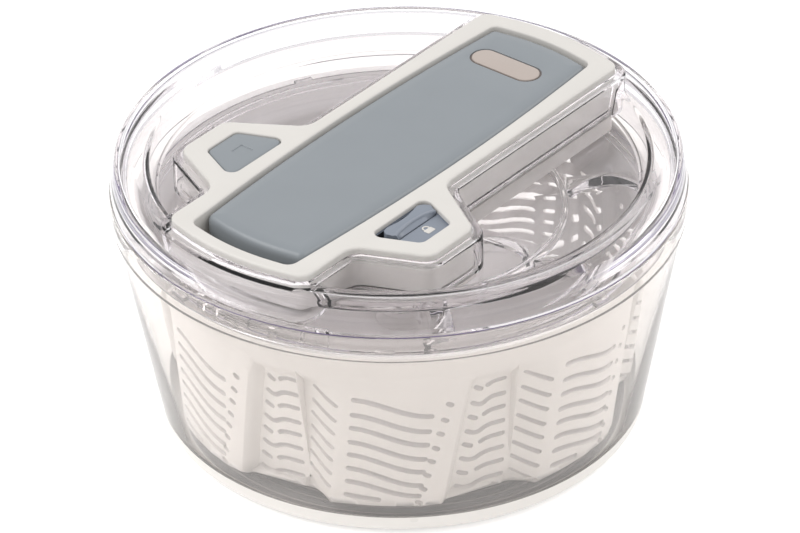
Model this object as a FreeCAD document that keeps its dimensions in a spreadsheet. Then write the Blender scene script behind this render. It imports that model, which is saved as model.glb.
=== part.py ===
import FreeCAD, Part
import math
import os
import re
import Sketcher

# Pump-lever salad spinner, in millimetres.
# +Z is up and the origin is the centre of the base.
# +X runs along the lever, from its free end (-X) to its hinge (+X).
# The stop button is on the +Y side of the lever and the lock is on the -Y side.

SIZES = {
    # bowl
    "lip_radius": 130, "lip_low": 104, "lip_top": 117.5, "lip_wall": 2.6,
    "wall_foot_radius": 110.2, "wall_head_radius": 128.7, "bowl_wall": 2.5,
    "bowl_under": 1.2, "bowl_floor": 6, "foot_round": 7,
    "grip_inner": 80, "grip_outer": 104, "grip_high": 3.1,
    "pin_radius": 3, "pin_low": 3.5, "pin_top": 19, "boss_radius": 9, "boss_top": 7,
    # basket
    "basket_floor": 11, "basket_sheet": 1.8, "lobe_foot_radius": 105.2, "lobe_head_radius": 111,
    "lobe_depth": 6.5, "lobe_low": 10.5, "lobe_head": 84, "lobe_count": 7, "lobe_angle": 30.8,
    "lobe_turn": 10.5,
    "rim_radius": 122, "rim_low": 101, "rim_top": 103, "rim_wall_radius": 118,
    "slot_rows": 8, "slot_pitch": 8.2, "slot_high": 3.6, "slot_wide": 12, "slot_low": 20,
    "slot_columns": 35, "notch_wide": 10, "notch_depth": 4,
    # lid
    "lid_radius": 129.3, "lid_low": 117.8, "lid_sheet": 2.5, "recess_low": 116,
    "recess_top": 118.5, "recess_radius": 108.5, "crown_radius": 121, "crown_top": 134.8,
    "skirt_inner": 123, "skirt_outer": 125.5, "skirt_low": 106, "collar_top": 135.2,
    "collar_reach": 5, "collar_gap": 0.4,
    # housing in the middle of the lid
    "frame_half": 39.3, "frame_end_radius": 117, "end_slope": 14, "frame_top": 138,
    "frame_low": 118.9, "frame_sheet": 2, "bump_reach": 72, "bump_near": -80, "bump_mid": -65,
    "bump_far": -36, "bump_end": -15.5, "bump_round": 7,
    "frame_round": 1.3,
    "well_gap": 0.7, "well_wall": 2.4, "tray_low": 119.5, "tray_top": 121.5,
    "flange_low": 113.8, "flange_top": 115.8, "case_floor": 104.8, "case_sheet": 2,
    "case_near": -24, "case_far": 109.5, "case_half": 39.5,
    "screw_radius": 1.5, "screw_head": 2.8, "boss_reach": 3, "screw_near": -90,
    "screw_near_side": 34, "screw_mid": -25, "screw_mid_side": 42.6, "screw_far": 112.6,
    "rail_near": 36, "rail_far": 84,
    # lever
    "lever_top": 137.5, "lever_low": 127.5, "lever_slope": 10,
    "lever_near_half": 27.6, "lever_far_half": 27.3, "lever_mid_half": 34.5,
    "lever_side_radius": 1230, "lever_near_radius": 102, "lever_far_radius": 106,
    "lever_round": 4, "lever_sheet": 2, "hinge_place": 96, "hinge_level": 131.5,
    "hinge_radius": 1.5, "hinge_half": 29.9, "plate_near": -93, "plate_far": 80, "plate_half": 25.6,
    "gusset_near": 70, "gusset_far": 95, "crank_length": 18, "crank_lean": 17.5, "crank_pin_radius": 2,
    "finger_gap": 9, "far_gap": 1.6, "arm_half": 3.2, "arm_wide": 3.2, "arm_inner": 12,
    "arm_outer": 21.6,
    # badge
    "badge_place": 80, "badge_half": 18, "badge_wide": 12.5, "badge_deep": 0.8,
    # buttons
    "window_inner": 39.5, "window_outer": 62, "window_near": -69, "window_far": -29.5,
    "window_near_out": -59, "window_far_out": -39, "window_round": 4, "button_gap": 0.4,
    "button_top": 137.4, "button_low": 128, "stem_place": -49.2, "stem_reach": 50,
    "stem_radius": 3, "pad_low": 106.8, "pad_high": 3, "pad_radius": 5.5,
    "lock_floor": 131.2, "lock_top": 137.2, "lock_travel": 3.5, "lock_inner": 40.2,
    "lock_outer": 49.4, "lock_shelf": 135, "thumb_radius": 30.8, "thumb_waist": 42.3,
    "tongue_half": 4, "tongue_tip": 31.9, "tongue_high": 2,
    # gears
    "tooth_module": 1.25, "rack_module": 1.5, "big_teeth": 44, "mid_teeth": 36,
    "small_teeth": 12, "pressure": 25, "backlash": 0.2,
    "rack_near": 44, "rack_far": 100, "rack_teeth": 7,
    "first_x": 58, "first_y": 5, "axle_radius": 2, "running": 0.05,
    "low_gear": 107.6, "low_face": 3.5, "high_gear": 111.6, "high_face": 3.4,
    "rack_gear_top": 118, "axle_low": 105.4, "axle_top": 119.4,
    # clutch and driver
    "centre_radius": 3, "centre_low": 93.5, "carrier_radius": 12, "carrier_low": 97.4,
    "carrier_top": 103, "journal_radius": 8.95, "neck_radius": 6, "journal_top": 107.2,
    "roller_radius": 2, "race_radius": 15, "cup_radius": 17.5, "cup_low": 95,
    "disc_radius": 115, "disc_low": 101.5, "disc_top": 103.5, "rib_low": 98.5,
    "rib_wide": 2, "rib_count": 8, "rib_turn": -10.5, "ring_rib": 74.5, "lug_reach": 117.6,
}

doc = FreeCAD.newDocument("salad_spinner")
sheet = doc.addObject("Spreadsheet::Sheet", "Sizes")
for row, (alias, value) in enumerate(SIZES.items(), start=1):
    sheet.set(f"A{row}", str(value))
    sheet.setAlias(f"A{row}", alias)
doc.recompute()

parts = []


def bind(text):
    """An expression with each alias written as a cell of the sheet."""
    return re.sub(r"[a-z][a-z_]*_?[a-z]*", lambda m: f"Sizes.{m[0]}" if m[0] in SIZES else m[0], text)


def size(text):
    return float(sheet.evalExpression(bind(text)))


def set_size(item, name, text):
    item.setExpression(name, bind(text))


def new_body(label):
    body = doc.addObject("PartDesign::Body", label)
    body.Label = label
    parts.append(body)
    return body


def rounded_loop(sketch, corners):
    """A closed loop of lines through the corners, with an arc at each corner that has a radius.

    Each corner is (across, up) or (across, up, radius), all as expressions.
    """
    places = [FreeCAD.Vector(size(c[0]), size(c[1]), 0) for c in corners]
    radii = [size(c[2]) if len(c) > 2 else 0 for c in corners]
    total = len(corners)
    reach = []
    for i, place in enumerate(places):
        before = (places[i - 1] - place).normalize()
        after = (places[(i + 1) % total] - place).normalize()
        half = before.getAngle(after) / 2
        reach.append((before, after, radii[i] / math.tan(half) if radii[i] else 0, half))
    lines = []
    for i, place in enumerate(places):
        k = (i + 1) % total
        start = place + reach[i][1] * reach[i][2]
        end = places[k] + reach[k][0] * reach[k][2]
        lines.append(sketch.addGeometry(Part.LineSegment(start, end)))
    for i, corner in enumerate(corners):
        line_in, line_out = lines[i - 1], lines[i]
        if not radii[i]:
            sketch.addConstraint(Sketcher.Constraint("Coincident", line_in, 2, line_out, 1))
            pin_point(sketch, line_out, 1, corner)
            continue
        before, after, run, half = reach[i]
        middle = (before + after).normalize()
        centre = places[i] + middle * (radii[i] / math.sin(half))
        first, last = places[i] + before * run, places[i] + after * run
        angles = [math.atan2(p.y - centre.y, p.x - centre.x) for p in (first, last)]
        turn = (before.x * after.y - before.y * after.x)
        low, high = angles if turn < 0 else angles[::-1]
        circle = Part.Circle(centre, FreeCAD.Vector(0, 0, 1), radii[i])
        arc = sketch.addGeometry(Part.ArcOfCircle(circle, low, high if high > low else high + 2 * math.pi))
        ends = (1, 2) if turn < 0 else (2, 1)
        sketch.addConstraint(Sketcher.Constraint("Tangent", line_in, 2, arc, ends[0]))
        sketch.addConstraint(Sketcher.Constraint("Tangent", line_out, 1, arc, ends[1]))
        rule = sketch.addConstraint(Sketcher.Constraint("Radius", arc, radii[i]))
        sketch.setExpression(f"Constraints[{rule}]", bind(corner[2]))
        point = sketch.addGeometry(Part.Point(places[i]), True)
        pin_point(sketch, point, 1, corner)
        sketch.addConstraint(Sketcher.Constraint("PointOnObject", point, 1, line_in))
        sketch.addConstraint(Sketcher.Constraint("PointOnObject", point, 1, line_out))


def pin_point(sketch, geometry, end, corner):
    """Hold a point at its place, each coordinate by an expression."""
    for kind, text in zip(("DistanceX", "DistanceY"), corner):
        rule = sketch.addConstraint(Sketcher.Constraint(kind, -1, 1, geometry, end, size(text)))
        sketch.setExpression(f"Constraints[{rule}]", bind(text))


def circle_loop(sketch, across, up, radius):
    """A circle whose centre and radius are expressions."""
    centre = FreeCAD.Vector(size(across), size(up), 0)
    ring = sketch.addGeometry(Part.Circle(centre, FreeCAD.Vector(0, 0, 1), size(radius)))
    rule = sketch.addConstraint(Sketcher.Constraint("Radius", ring, size(radius)))
    sketch.setExpression(f"Constraints[{rule}]", bind(radius))
    pin_point(sketch, ring, 3, (across, up))


def new_sketch(body, plane, loops, level="0"):
    """A sketch on one of the body's own planes, moved along that plane's normal by level.

    A loop is a list of corners, or ("circle", across, up, radius).
    """
    sketch = body.newObject("Sketcher::SketchObject", f"{body.Name}_outline")
    face = [item for item in body.Origin.OriginFeatures if item.Role == f"{plane}_Plane"][0]
    sketch.AttachmentSupport = (face, [""])
    sketch.MapMode = "FlatFace"
    sketch.setExpression(".AttachmentOffset.Base.z", bind(level))
    for loop in loops:
        if loop[0] == "circle":
            circle_loop(sketch, *loop[1:])
        else:
            rounded_loop(sketch, loop)
    return sketch


def volume_of(body):
    doc.recompute()
    return body.Shape.Volume if body.Tip else 0


def feature(body, kind, sketch, settings, bound, grows=True):
    """Add a sketched feature and make sure that it really added or removed material."""
    before = volume_of(body)
    item = body.newObject(f"PartDesign::{kind}", f"{body.Name}_{kind.lower()}")
    item.Profile = sketch
    for name, value in settings.items():
        setattr(item, name, value)
    for name, text in bound.items():
        set_size(item, name, text)
    after = volume_of(body)
    if (after > before) != grows or abs(after - before) < 1e-6:
        raise RuntimeError(f"{item.Name} changed the volume from {before:.1f} to {after:.1f}")
    return item


def pad(body, loops, low, high, plane="XY"):
    sketch = new_sketch(body, plane, loops, low)
    return feature(body, "Pad", sketch, {"Reversed": False}, {"Length": f"{high} - ({low})"})


def pocket(body, loops, low, high, plane="XY"):
    sketch = new_sketch(body, plane, loops, high)
    return feature(body, "Pocket", sketch, {"Reversed": False}, {"Length": f"{high} - ({low})"}, False)


def turn(body, loops, angle="360", cut=False):
    """Turn a profile of radii and heights round the vertical axis."""
    sketch = new_sketch(body, "XZ", loops)
    settings = {"ReferenceAxis": (sketch, ["V_Axis"]), "Midplane": True}
    return feature(body, "Groove" if cut else "Revolution", sketch, settings, {"Angle": angle}, not cut)


def repeat(body, items, count):
    """Copies of features, evenly round the vertical axis."""
    before = volume_of(body)
    pattern = body.newObject("PartDesign::PolarPattern", f"{body.Name}_pattern")
    pattern.Originals = items
    axis = [item for item in body.Origin.OriginFeatures if item.Role == "Z_Axis"][0]
    pattern.Axis = (axis, [""])
    pattern.Angle = 360
    set_size(pattern, "Occurrences", count)
    body.Tip = pattern
    if abs(volume_of(body) - before) < 1e-6:
        raise RuntimeError(f"{pattern.Name} changed nothing")
    return pattern


def round_edges(body, radius, choose):
    """Round the edges of the body's last feature that choose(edge) picks."""
    doc.recompute()
    base = body.Tip
    names = [f"Edge{i}" for i, edge in enumerate(base.Shape.Edges, start=1) if choose(edge)]
    rounding = body.newObject("PartDesign::Fillet", f"{body.Name}_rounding")
    rounding.Base = (base, names)
    set_size(rounding, "Radius", radius)
    doc.recompute()
    return rounding


def level_edge(level):
    """A test for edges that lie flat at one height."""
    wanted = size(level)

    def test(edge):
        box = edge.BoundBox
        return abs(box.ZMin - wanted) < 1e-4 and abs(box.ZMax - wanted) < 1e-4
    return test


def box_loop(low_x, high_x, low_y, high_y, radius=None):
    corners = [(low_x, low_y), (high_x, low_y), (high_x, high_y), (low_x, high_y)]
    return [c + (radius,) for c in corners] if radius else corners


def ring_loops(outer, inner, across="0", up="0"):
    return [("circle", across, up, outer), ("circle", across, up, inner)]


def rod(label, radius, low, high, across="0", up="0"):
    """A plain upright pin."""
    body = new_body(label)
    pad(body, [("circle", across, up, radius)], low, high)
    return body


# ---------------------------------------------------------------- outlines that several pieces share

def frame_loop(grow="0"):
    """The housing's outline in plan: a long bridge with a bump-out on each side, grown outwards."""
    half = f"(frame_half + ({grow}))"
    end = f"((frame_end_radius + ({grow})) / cos(end_slope))"
    side = f"({end} - {half} * tan(end_slope))"
    bump = f"(bump_reach + ({grow}))"
    near, near_out = f"(bump_near - 0.6 * ({grow}))", f"(bump_mid - 0.6 * ({grow}))"
    far_out, far = f"(bump_far + 0.5 * ({grow}))", f"(bump_end + 0.5 * ({grow}))"
    end_round = f"frame_end_radius + ({grow})"
    outer = f"bump_round + ({grow})"
    inner = f"bump_round + 4 - ({grow}) / 2"
    return [
        (f"-{end}", "0", end_round),
        (f"-{side}", f"-{half}", outer),
        (near, f"-{half}", inner),
        (near_out, f"-{bump}", outer),
        (far_out, f"-{bump}", outer),
        (far, f"-{half}", inner),
        (side, f"-{half}", outer),
        (end, "0", end_round),
        (side, half, outer),
        (far, half, inner),
        (far_out, bump, outer),
        (near_out, bump, outer),
        (near, half, inner),
        (f"-{side}", half, outer),
    ]


def lever_loop(grow="0", near_grow=None, far_grow=None):
    """The lever's outline in plan: long sides that bow out a little, and round ends."""
    near_radius = f"(lever_near_radius + ({near_grow or grow}))"
    far_radius = f"(lever_far_radius + ({far_grow or grow}))"
    near_half, far_half = f"(lever_near_half + ({grow}))", f"(lever_far_half + ({grow}))"
    near_tip, far_tip = f"({near_radius} / cos(lever_slope))", f"({far_radius} / cos(lever_slope))"
    near = f"-({near_tip} - {near_half} * tan(lever_slope))"
    far = f"({far_tip} - {far_half} * tan(lever_slope))"
    middle = f"(lever_mid_half + ({grow}))"
    corner = f"lever_round + ({grow})"
    side = f"lever_side_radius + ({grow})"
    return [
        (f"-{near_tip}", "0", near_radius),
        (near, f"-{near_half}", corner),
        ("0", f"-{middle}", side),
        (far, f"-{far_half}", corner),
        (far_tip, "0", far_radius),
        (far, far_half, corner),
        ("0", middle, side),
        (near, near_half, corner),
    ]


def window_loop(side, grow="0"):
    """A button's window in plan: a rounded trapezium, narrower on its outer side."""
    corner = f"window_round + ({grow})"
    inner, outer = f"{side} * (window_inner - ({grow}))", f"{side} * (window_outer + ({grow}))"
    return [
        (f"window_near - 1.5 * ({grow})", inner, corner),
        (f"window_far + 1.5 * ({grow})", inner, corner),
        (f"window_far_out + 0.8 * ({grow})", outer, corner),
        (f"window_near_out - 0.8 * ({grow})", outer, corner),
    ]


# the screws that hold the housing together, as places in plan
SCREWS = [
    ("screw_near", "screw_near_side"), ("screw_near", "-screw_near_side"),
    ("screw_mid", "screw_mid_side"), ("screw_mid", "-screw_mid_side"),
    ("screw_far", "0"),
]
CRANK_X = "(hinge_place + crank_length * sin(crank_lean))"
CRANK_Z = "(hinge_level - crank_length * cos(crank_lean))"
RACK_LINE = "(first_y + rack_module * small_teeth / 2)"


# ---------------------------------------------------------------- bowl

def bowl_shell():
    body = new_body("bowl_shell")
    inner_foot = "wall_foot_radius - bowl_wall"
    turn(body, [[
        ("0", "bowl_under"),
        ("grip_inner - 0.1", "bowl_under"),
        ("grip_inner - 0.1", "grip_high + 0.1"),
        ("grip_outer + 0.1", "grip_high + 0.1"),
        ("grip_outer + 0.1", "bowl_under"),
        ("wall_foot_radius", "bowl_under", "foot_round - 2"),
        ("wall_head_radius", "lip_low"),
        ("lip_radius", "lip_low + 1.5"),
        ("lip_radius", "lip_top"),
        ("lip_radius - lip_wall", "lip_top"),
        ("lip_radius - lip_wall", "lip_low + 1"),
        ("wall_head_radius - bowl_wall", "lip_low - 0.5"),
        (inner_foot + " + 1", "bowl_floor", "foot_round"),
        ("boss_radius", "bowl_floor", "1.5"),
        ("boss_radius - 1", "boss_top"),
        ("pin_radius + 0.02", "boss_top"),
        ("pin_radius + 0.02", "pin_low"),
        ("0", "pin_low"),
    ]])
    return body


def grip_ring():
    """The soft ring that the bowl stands on, with grooves in its underside."""
    body = new_body("grip_ring")
    turn(body, [box_loop("grip_inner", "grip_outer", "0", "grip_high", "0.8")])
    for step in range(1, 5):
        middle = f"grip_inner + {step} * (grip_outer - grip_inner) / 5"
        pocket(body, ring_loops(f"{middle} + 1", f"{middle} - 1"), "-0.5", "0.8")
    return body


def pivot_pin():
    body = new_body("pivot_pin")
    turn(body, [[
        ("0", "pin_low + 0.1"),
        ("pin_radius", "pin_low + 0.1"),
        ("pin_radius", "pin_top", "1"),
        ("0", "pin_top"),
    ]])
    return body


# ---------------------------------------------------------------- basket

def pivot_bush():
    """The cap in the basket's hub that turns on the bowl's pin."""
    body = new_body("pivot_bush")
    turn(body, [[
        ("pin_radius + running", "boss_top + 0.4"),
        ("pin_radius + 2.5", "boss_top + 0.4"),
        ("pin_radius + 2.5", "pin_top + 2"),
        ("0", "pin_top + 2"),
        ("0", "pin_top + 0.2"),
        ("pin_radius + running", "pin_top + 0.2"),
    ]])
    return body


def basket_cone(inset):
    """The profile of the basket's body with its surface set in by a distance."""
    foot, head = f"lobe_foot_radius - ({inset})", f"lobe_head_radius - ({inset})"
    return [foot, head]


def face_lobes(body):
    """Turn a body about the vertical axis to the angle at which the basket's lobes stand."""
    upright = FreeCAD.Vector(0, 0, 1)
    body.Placement.Rotation = FreeCAD.Rotation(upright, size("lobe_turn"))


def basket():
    body = new_body("basket")
    deep = "lobe_depth"
    foot, head = basket_cone(deep)
    turn(body, [[
        ("0", "basket_floor"),
        (foot, "basket_floor", "4"),
        (head, "lobe_head"),
        ("rim_wall_radius", "rim_low"),
        ("rim_radius", "rim_low"),
        ("rim_radius", "rim_top"),
        ("0", "rim_top"),
    ]])
    foot, head = basket_cone("0")
    lobe = turn(body, [[
        ("0", "lobe_low"),
        (foot, "lobe_low", "4"),
        (head, "lobe_head"),
        ("0", "lobe_head"),
    ]], "lobe_angle")
    repeat(body, [lobe], "lobe_count")
    foot, head = basket_cone("lobe_depth + basket_sheet")
    turn(body, [[
        ("0", "basket_floor + basket_sheet"),
        (foot, "basket_floor + basket_sheet", "3"),
        (head, "lobe_head + 1"),
        ("rim_wall_radius - basket_sheet", "rim_low"),
        ("rim_wall_radius - basket_sheet", "rim_top + 1"),
        ("0", "rim_top + 1"),
    ]], cut=True)
    foot, head = basket_cone("basket_sheet")
    hollow = turn(body, [[
        ("0", "lobe_low + basket_sheet"),
        (foot, "lobe_low + basket_sheet", "3"),
        (head, "lobe_head - basket_sheet"),
        ("0", "lobe_head - basket_sheet"),
    ]], "lobe_angle - 2", cut=True)
    repeat(body, [hollow], "lobe_count")
    slots = []
    for place in range(int(size("slot_rows"))):
        low = f"slot_low + {place} * slot_pitch"
        slots.append(box_loop("-slot_wide / 2", "slot_wide / 2", low, f"{low} + slot_high"))
    cut = pocket(body, slots, "80", "130", "YZ")
    repeat(body, [cut], "slot_columns")
    notch = box_loop("disc_radius - 6", "rim_radius + 2", "-notch_wide / 2", "notch_wide / 2")
    cut = pocket(body, [notch], "rim_top - notch_depth", "rim_top + 1")
    repeat(body, [cut], "lobe_count")
    hub = "pin_radius + 2.6"
    pad(body, ring_loops("boss_radius + 1", hub), "basket_floor", "pin_top + 1")
    pocket(body, [("circle", "0", "0", hub)], "basket_floor - 1", "basket_floor + 3")
    face_lobes(body)
    return body


# ---------------------------------------------------------------- lid

def lid_shell():
    """The clear lid: a broad rounded rim, a sunk floor and a collar round the housing."""
    body = new_body("lid_shell")
    turn(body, [[
        ("0", "recess_low"),
        ("recess_radius + 1.5", "recess_low", "2"),
        ("recess_radius + 5.2", "crown_top - 5.6", "3"),
        ("crown_radius", "crown_top - 2.4", "4"),
        ("crown_radius + 3.8", "crown_top - 5.2", "2"),
        ("skirt_inner", "recess_top"),
        ("skirt_inner", "skirt_low"),
        ("skirt_outer", "skirt_low"),
        ("skirt_outer", "lid_low"),
        ("lid_radius", "lid_low"),
        ("lid_radius", "lid_low + 2.4", "1"),
        ("lid_radius - 2.2", "crown_top - 2.8", "3"),
        ("crown_radius", "crown_top", "8"),
        ("recess_radius + 3", "crown_top - 4", "3"),
        ("recess_radius", "recess_top", "2"),
        ("0", "recess_top"),
    ]])
    pocket(body, [frame_loop("collar_gap")], "recess_low - 1", "frame_top + 1")
    inner = "collar_reach - lid_sheet"
    pad(body, [frame_loop("collar_reach"), frame_loop(inner)], "recess_low", "collar_top")
    rim = [frame_loop("collar_reach"), frame_loop("collar_gap")]
    pad(body, rim, "collar_top - lid_sheet", "collar_top")
    return body


def top_frame():
    """The housing's cover, with a well for the lever and a window on each side of it."""
    body = new_body("top_frame")
    pad(body, [frame_loop()], "frame_low", "frame_top")
    round_edges(body, "frame_round", level_edge("frame_top"))
    pocket(body, [frame_loop("-frame_sheet")], "frame_low - 1", "frame_top - frame_sheet")
    wall = "well_gap + well_wall"
    outer_well = lever_loop(wall, "finger_gap + well_wall", "far_gap + well_wall")
    pad(body, [outer_well], "tray_low", "frame_top - frame_sheet / 2")
    pocket(body, [lever_loop("well_gap", "finger_gap", "far_gap")], "tray_top", "frame_top + 1")
    pocket(body, [window_loop("1")], "frame_top - 8", "frame_top + 1")
    pocket(body, [window_loop("-1")], "frame_top - 8", "frame_top + 1")
    # posts that take the screws and the tops of the axles
    posts = [("circle", x, y, "boss_reach") for x, y in SCREWS]
    pad(body, posts, "flange_top + 0.1", "frame_top - frame_sheet")
    pilots = [("circle", x, y, "screw_radius - 0.2") for x, y in SCREWS]
    pocket(body, pilots, "flange_top", "frame_top - 6")
    first, second = gear_places()
    for (x, y), low, radius in (
        (first, "rack_gear_top + 0.4", "axle_radius"),
        (second, "high_gear + high_face + 0.4", "axle_radius"),
        (("0", "0"), "high_gear + high_face + 0.4", "centre_radius"),
    ):
        pad(body, [("circle", x, y, f"{radius} + 2.4")], low, "tray_low + 0.1")
        pocket(body, [("circle", x, y, f"{radius} + 0.02")], low + " - 1", "tray_top - 0.8")
    # the rail that backs the rack
    rail = box_loop("rail_near", "rail_far", "arm_outer - 0.4", "arm_outer + 1.2")
    pad(body, [rail], "rack_gear_top - 5.6", "tray_low + 0.1")
    crank_slot = box_loop("hinge_place - 11", "hinge_place + 11", "arm_inner - 1.5",
                          "arm_outer + arm_wide + 1.5", "1")
    pocket(body, [crank_slot], "tray_low - 1", "tray_top + 1")
    pin_hole = ("circle", "hinge_place", "hinge_level", "hinge_radius + 0.02")
    pocket(body, [pin_hole], "-35", "35", "XZ")
    pocket(body, [tongue_path("0.4", "29", "38")], "lock_floor - 0.1", "lock_floor + tongue_high + 0.7")
    return body


def gear_places():
    """Centres in plan of the two gear axles, from the gears' pitch circles."""
    reach = math.hypot(size("first_x"), size("first_y"))
    inner = size("tooth_module * (mid_teeth + small_teeth) / 2")
    outer = size("tooth_module * (big_teeth + small_teeth) / 2")
    along = (inner ** 2 - outer ** 2 + reach ** 2) / (2 * reach)
    aside = -math.sqrt(inner ** 2 - along ** 2)
    lean = math.atan2(size("first_y"), size("first_x"))
    x = along * math.cos(lean) - aside * math.sin(lean)
    y = along * math.sin(lean) + aside * math.cos(lean)
    return ("first_x", "first_y"), (f"{x:.6f}", f"{y:.6f}")


def gear_case():
    """The tub under the lid that holds the gears, with a flange that clamps the lid's floor."""
    body = new_body("gear_case")
    pad(body, [frame_loop("3")], "flange_low", "flange_top")
    tub = box_loop("case_near", "case_far", "-case_half", "case_half", "6")
    pad(body, [tub], "case_floor", "flange_top")
    inside = box_loop("case_near + case_sheet", "case_far - case_sheet",
                      "case_sheet - case_half", "case_half - case_sheet", "4")
    pocket(body, [inside], "case_floor + case_sheet", "flange_top + 1")
    holes = [("circle", x, y, "screw_radius + 0.2") for x, y in SCREWS]
    holes.append(("circle", "stem_place", "stem_reach", "stem_radius + 0.3"))
    pocket(body, holes, "flange_low - 1", "flange_top + 1")
    pocket(body, [("circle", "0", "0", "journal_radius + running")], "case_floor - 1", "flange_top")
    sockets = [("circle", x, y, "axle_radius + 0.02") for x, y in gear_places()]
    pocket(body, sockets, "axle_low - 0.1", "flange_top")
    return body


def case_screws():
    """The five screws, as one group."""
    body = new_body("case_screws")
    heads = [("circle", x, y, "screw_head") for x, y in SCREWS]
    shanks = [("circle", x, y, "screw_radius - 0.25") for x, y in SCREWS]
    pad(body, shanks, "flange_low - 0.1", "flange_top + 10")
    pad(body, heads, "flange_low - 2", "flange_low")
    return body


def hinge_pin():
    body = new_body("hinge_pin")
    pad(body, [("circle", "hinge_place", "hinge_level", "hinge_radius")], "-hinge_half", "hinge_half", "XZ")
    return body


def coil(label, radius, wire, low, high, pitch, plane="XZ"):
    """A spring: a round wire wound about an axis through the body's own origin."""
    body = new_body(label)
    sketch = new_sketch(body, plane, [("circle", radius, low, wire)])
    doc.recompute()
    spring = body.newObject("PartDesign::AdditiveHelix", f"{label}_helix")
    spring.Profile = sketch
    spring.ReferenceAxis = (sketch, ["V_Axis"])
    spring.Mode = 0
    set_size(spring, "Pitch", pitch)
    set_size(spring, "Height", f"{high} - ({low})")
    doc.recompute()
    return body


def stop_spring():
    """The spring that lifts the stop button, round its stem."""
    body = coil("stop_spring", "stem_radius + 1.4", "0.5", "flange_top + 0.7", "button_top - 3.8", "3")
    set_size(body, ".Placement.Base.x", "stem_place")
    set_size(body, ".Placement.Base.y", "stem_reach")
    return body


def return_spring():
    """The spring that lifts the lever, wound round the hinge pin."""
    body = coil("return_spring", "hinge_radius + 1.3", "0.4", "-18", "-4", "1.6")
    body.Placement.Rotation = FreeCAD.Rotation(FreeCAD.Vector(1, 0, 0), -90)
    set_size(body, ".Placement.Base.x", "hinge_place")
    set_size(body, ".Placement.Base.z", "hinge_level")
    return body


# ---------------------------------------------------------------- lever

def lever_cover():
    body = new_body("lever_cover")
    pad(body, [lever_loop()], "lever_low", "lever_top")
    round_edges(body, "3", level_edge("lever_top"))
    pocket(body, [lever_loop("-lever_sheet")], "lever_low - 1", "lever_top - lever_sheet")
    recess = box_loop("badge_place - badge_wide / 2 - 0.5", "badge_place + badge_wide / 2 + 0.5",
                      "-badge_half - 0.5", "badge_half + 0.5", "badge_wide / 2 + 0.4")
    pocket(body, [recess], "lever_top - badge_deep", "lever_top + 1")
    pocket(body, [("circle", "hinge_place", "hinge_level", "hinge_radius + running")], "-40", "40", "XZ")
    # the tongue's slot in the side wall, open downwards where the lock lets the lever go
    pocket(body, [tongue_path("0.8", "25", "36")], "lock_floor - 0.3", "lock_floor + tongue_high + 0.8")
    gate = box_loop("stem_place - tongue_half - 0.8", "stem_place + tongue_half + 0.8", "-36", "-25")
    pocket(body, [gate], "lever_low - 1", "lock_floor")
    return body


def lever_badge():
    body = new_body("lever_badge")
    outline = box_loop("badge_place - badge_wide / 2", "badge_place + badge_wide / 2",
                       "-badge_half", "badge_half", "badge_wide / 2 - 0.1")
    pad(body, [outline], "lever_top - badge_deep + 0.02", "lever_top + 0.2")
    return body


def lever_frame():
    """The lever's inner plate, with the two arms of the crank below its hinge."""
    body = new_body("lever_frame")
    plate = box_loop("plate_near", "plate_far", "-plate_half", "plate_half", "3")
    pad(body, [plate], "lever_low + 0.8", "lever_low + 2.8")
    plus = "arm_half * (cos(crank_lean) + sin(crank_lean))"
    minus = "arm_half * (cos(crank_lean) - sin(crank_lean))"
    arm = [
        (f"hinge_place + {minus}", f"hinge_level + {plus}", "3"),
        (f"hinge_place - {plus}", f"hinge_level + {minus}", "3"),
        (f"{CRANK_X} - {minus}", f"{CRANK_Z} - {plus}", "3"),
        (f"{CRANK_X} + {plus}", f"{CRANK_Z} - {minus}", "3"),
    ]
    gusset = [
        ("gusset_near", "lever_low + 0.8"), ("gusset_far", "lever_low"),
        ("gusset_far", "hinge_level + 1"), ("gusset_near", "lever_low + 2.8"),
    ]
    for inner in ("arm_inner", "arm_outer"):
        low, high = f"-({inner} + arm_wide)", f"-{inner}"
        pad(body, [arm], low, high, "XZ")
        pad(body, [gusset], low, high, "XZ")
        hinge_hole = ("circle", "hinge_place", "hinge_level", "hinge_radius + running")
        pocket(body, [hinge_hole], low, high, "XZ")
        pocket(body, [("circle", CRANK_X, CRANK_Z, "crank_pin_radius + 0.02")], low, high, "XZ")
    return body


def crank_pin():
    body = new_body("crank_pin")
    outline = ("circle", CRANK_X, CRANK_Z, "crank_pin_radius")
    pad(body, [outline], "-(arm_outer + arm_wide)", "-arm_inner", "XZ")
    return body


# ---------------------------------------------------------------- rack and gears

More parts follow.
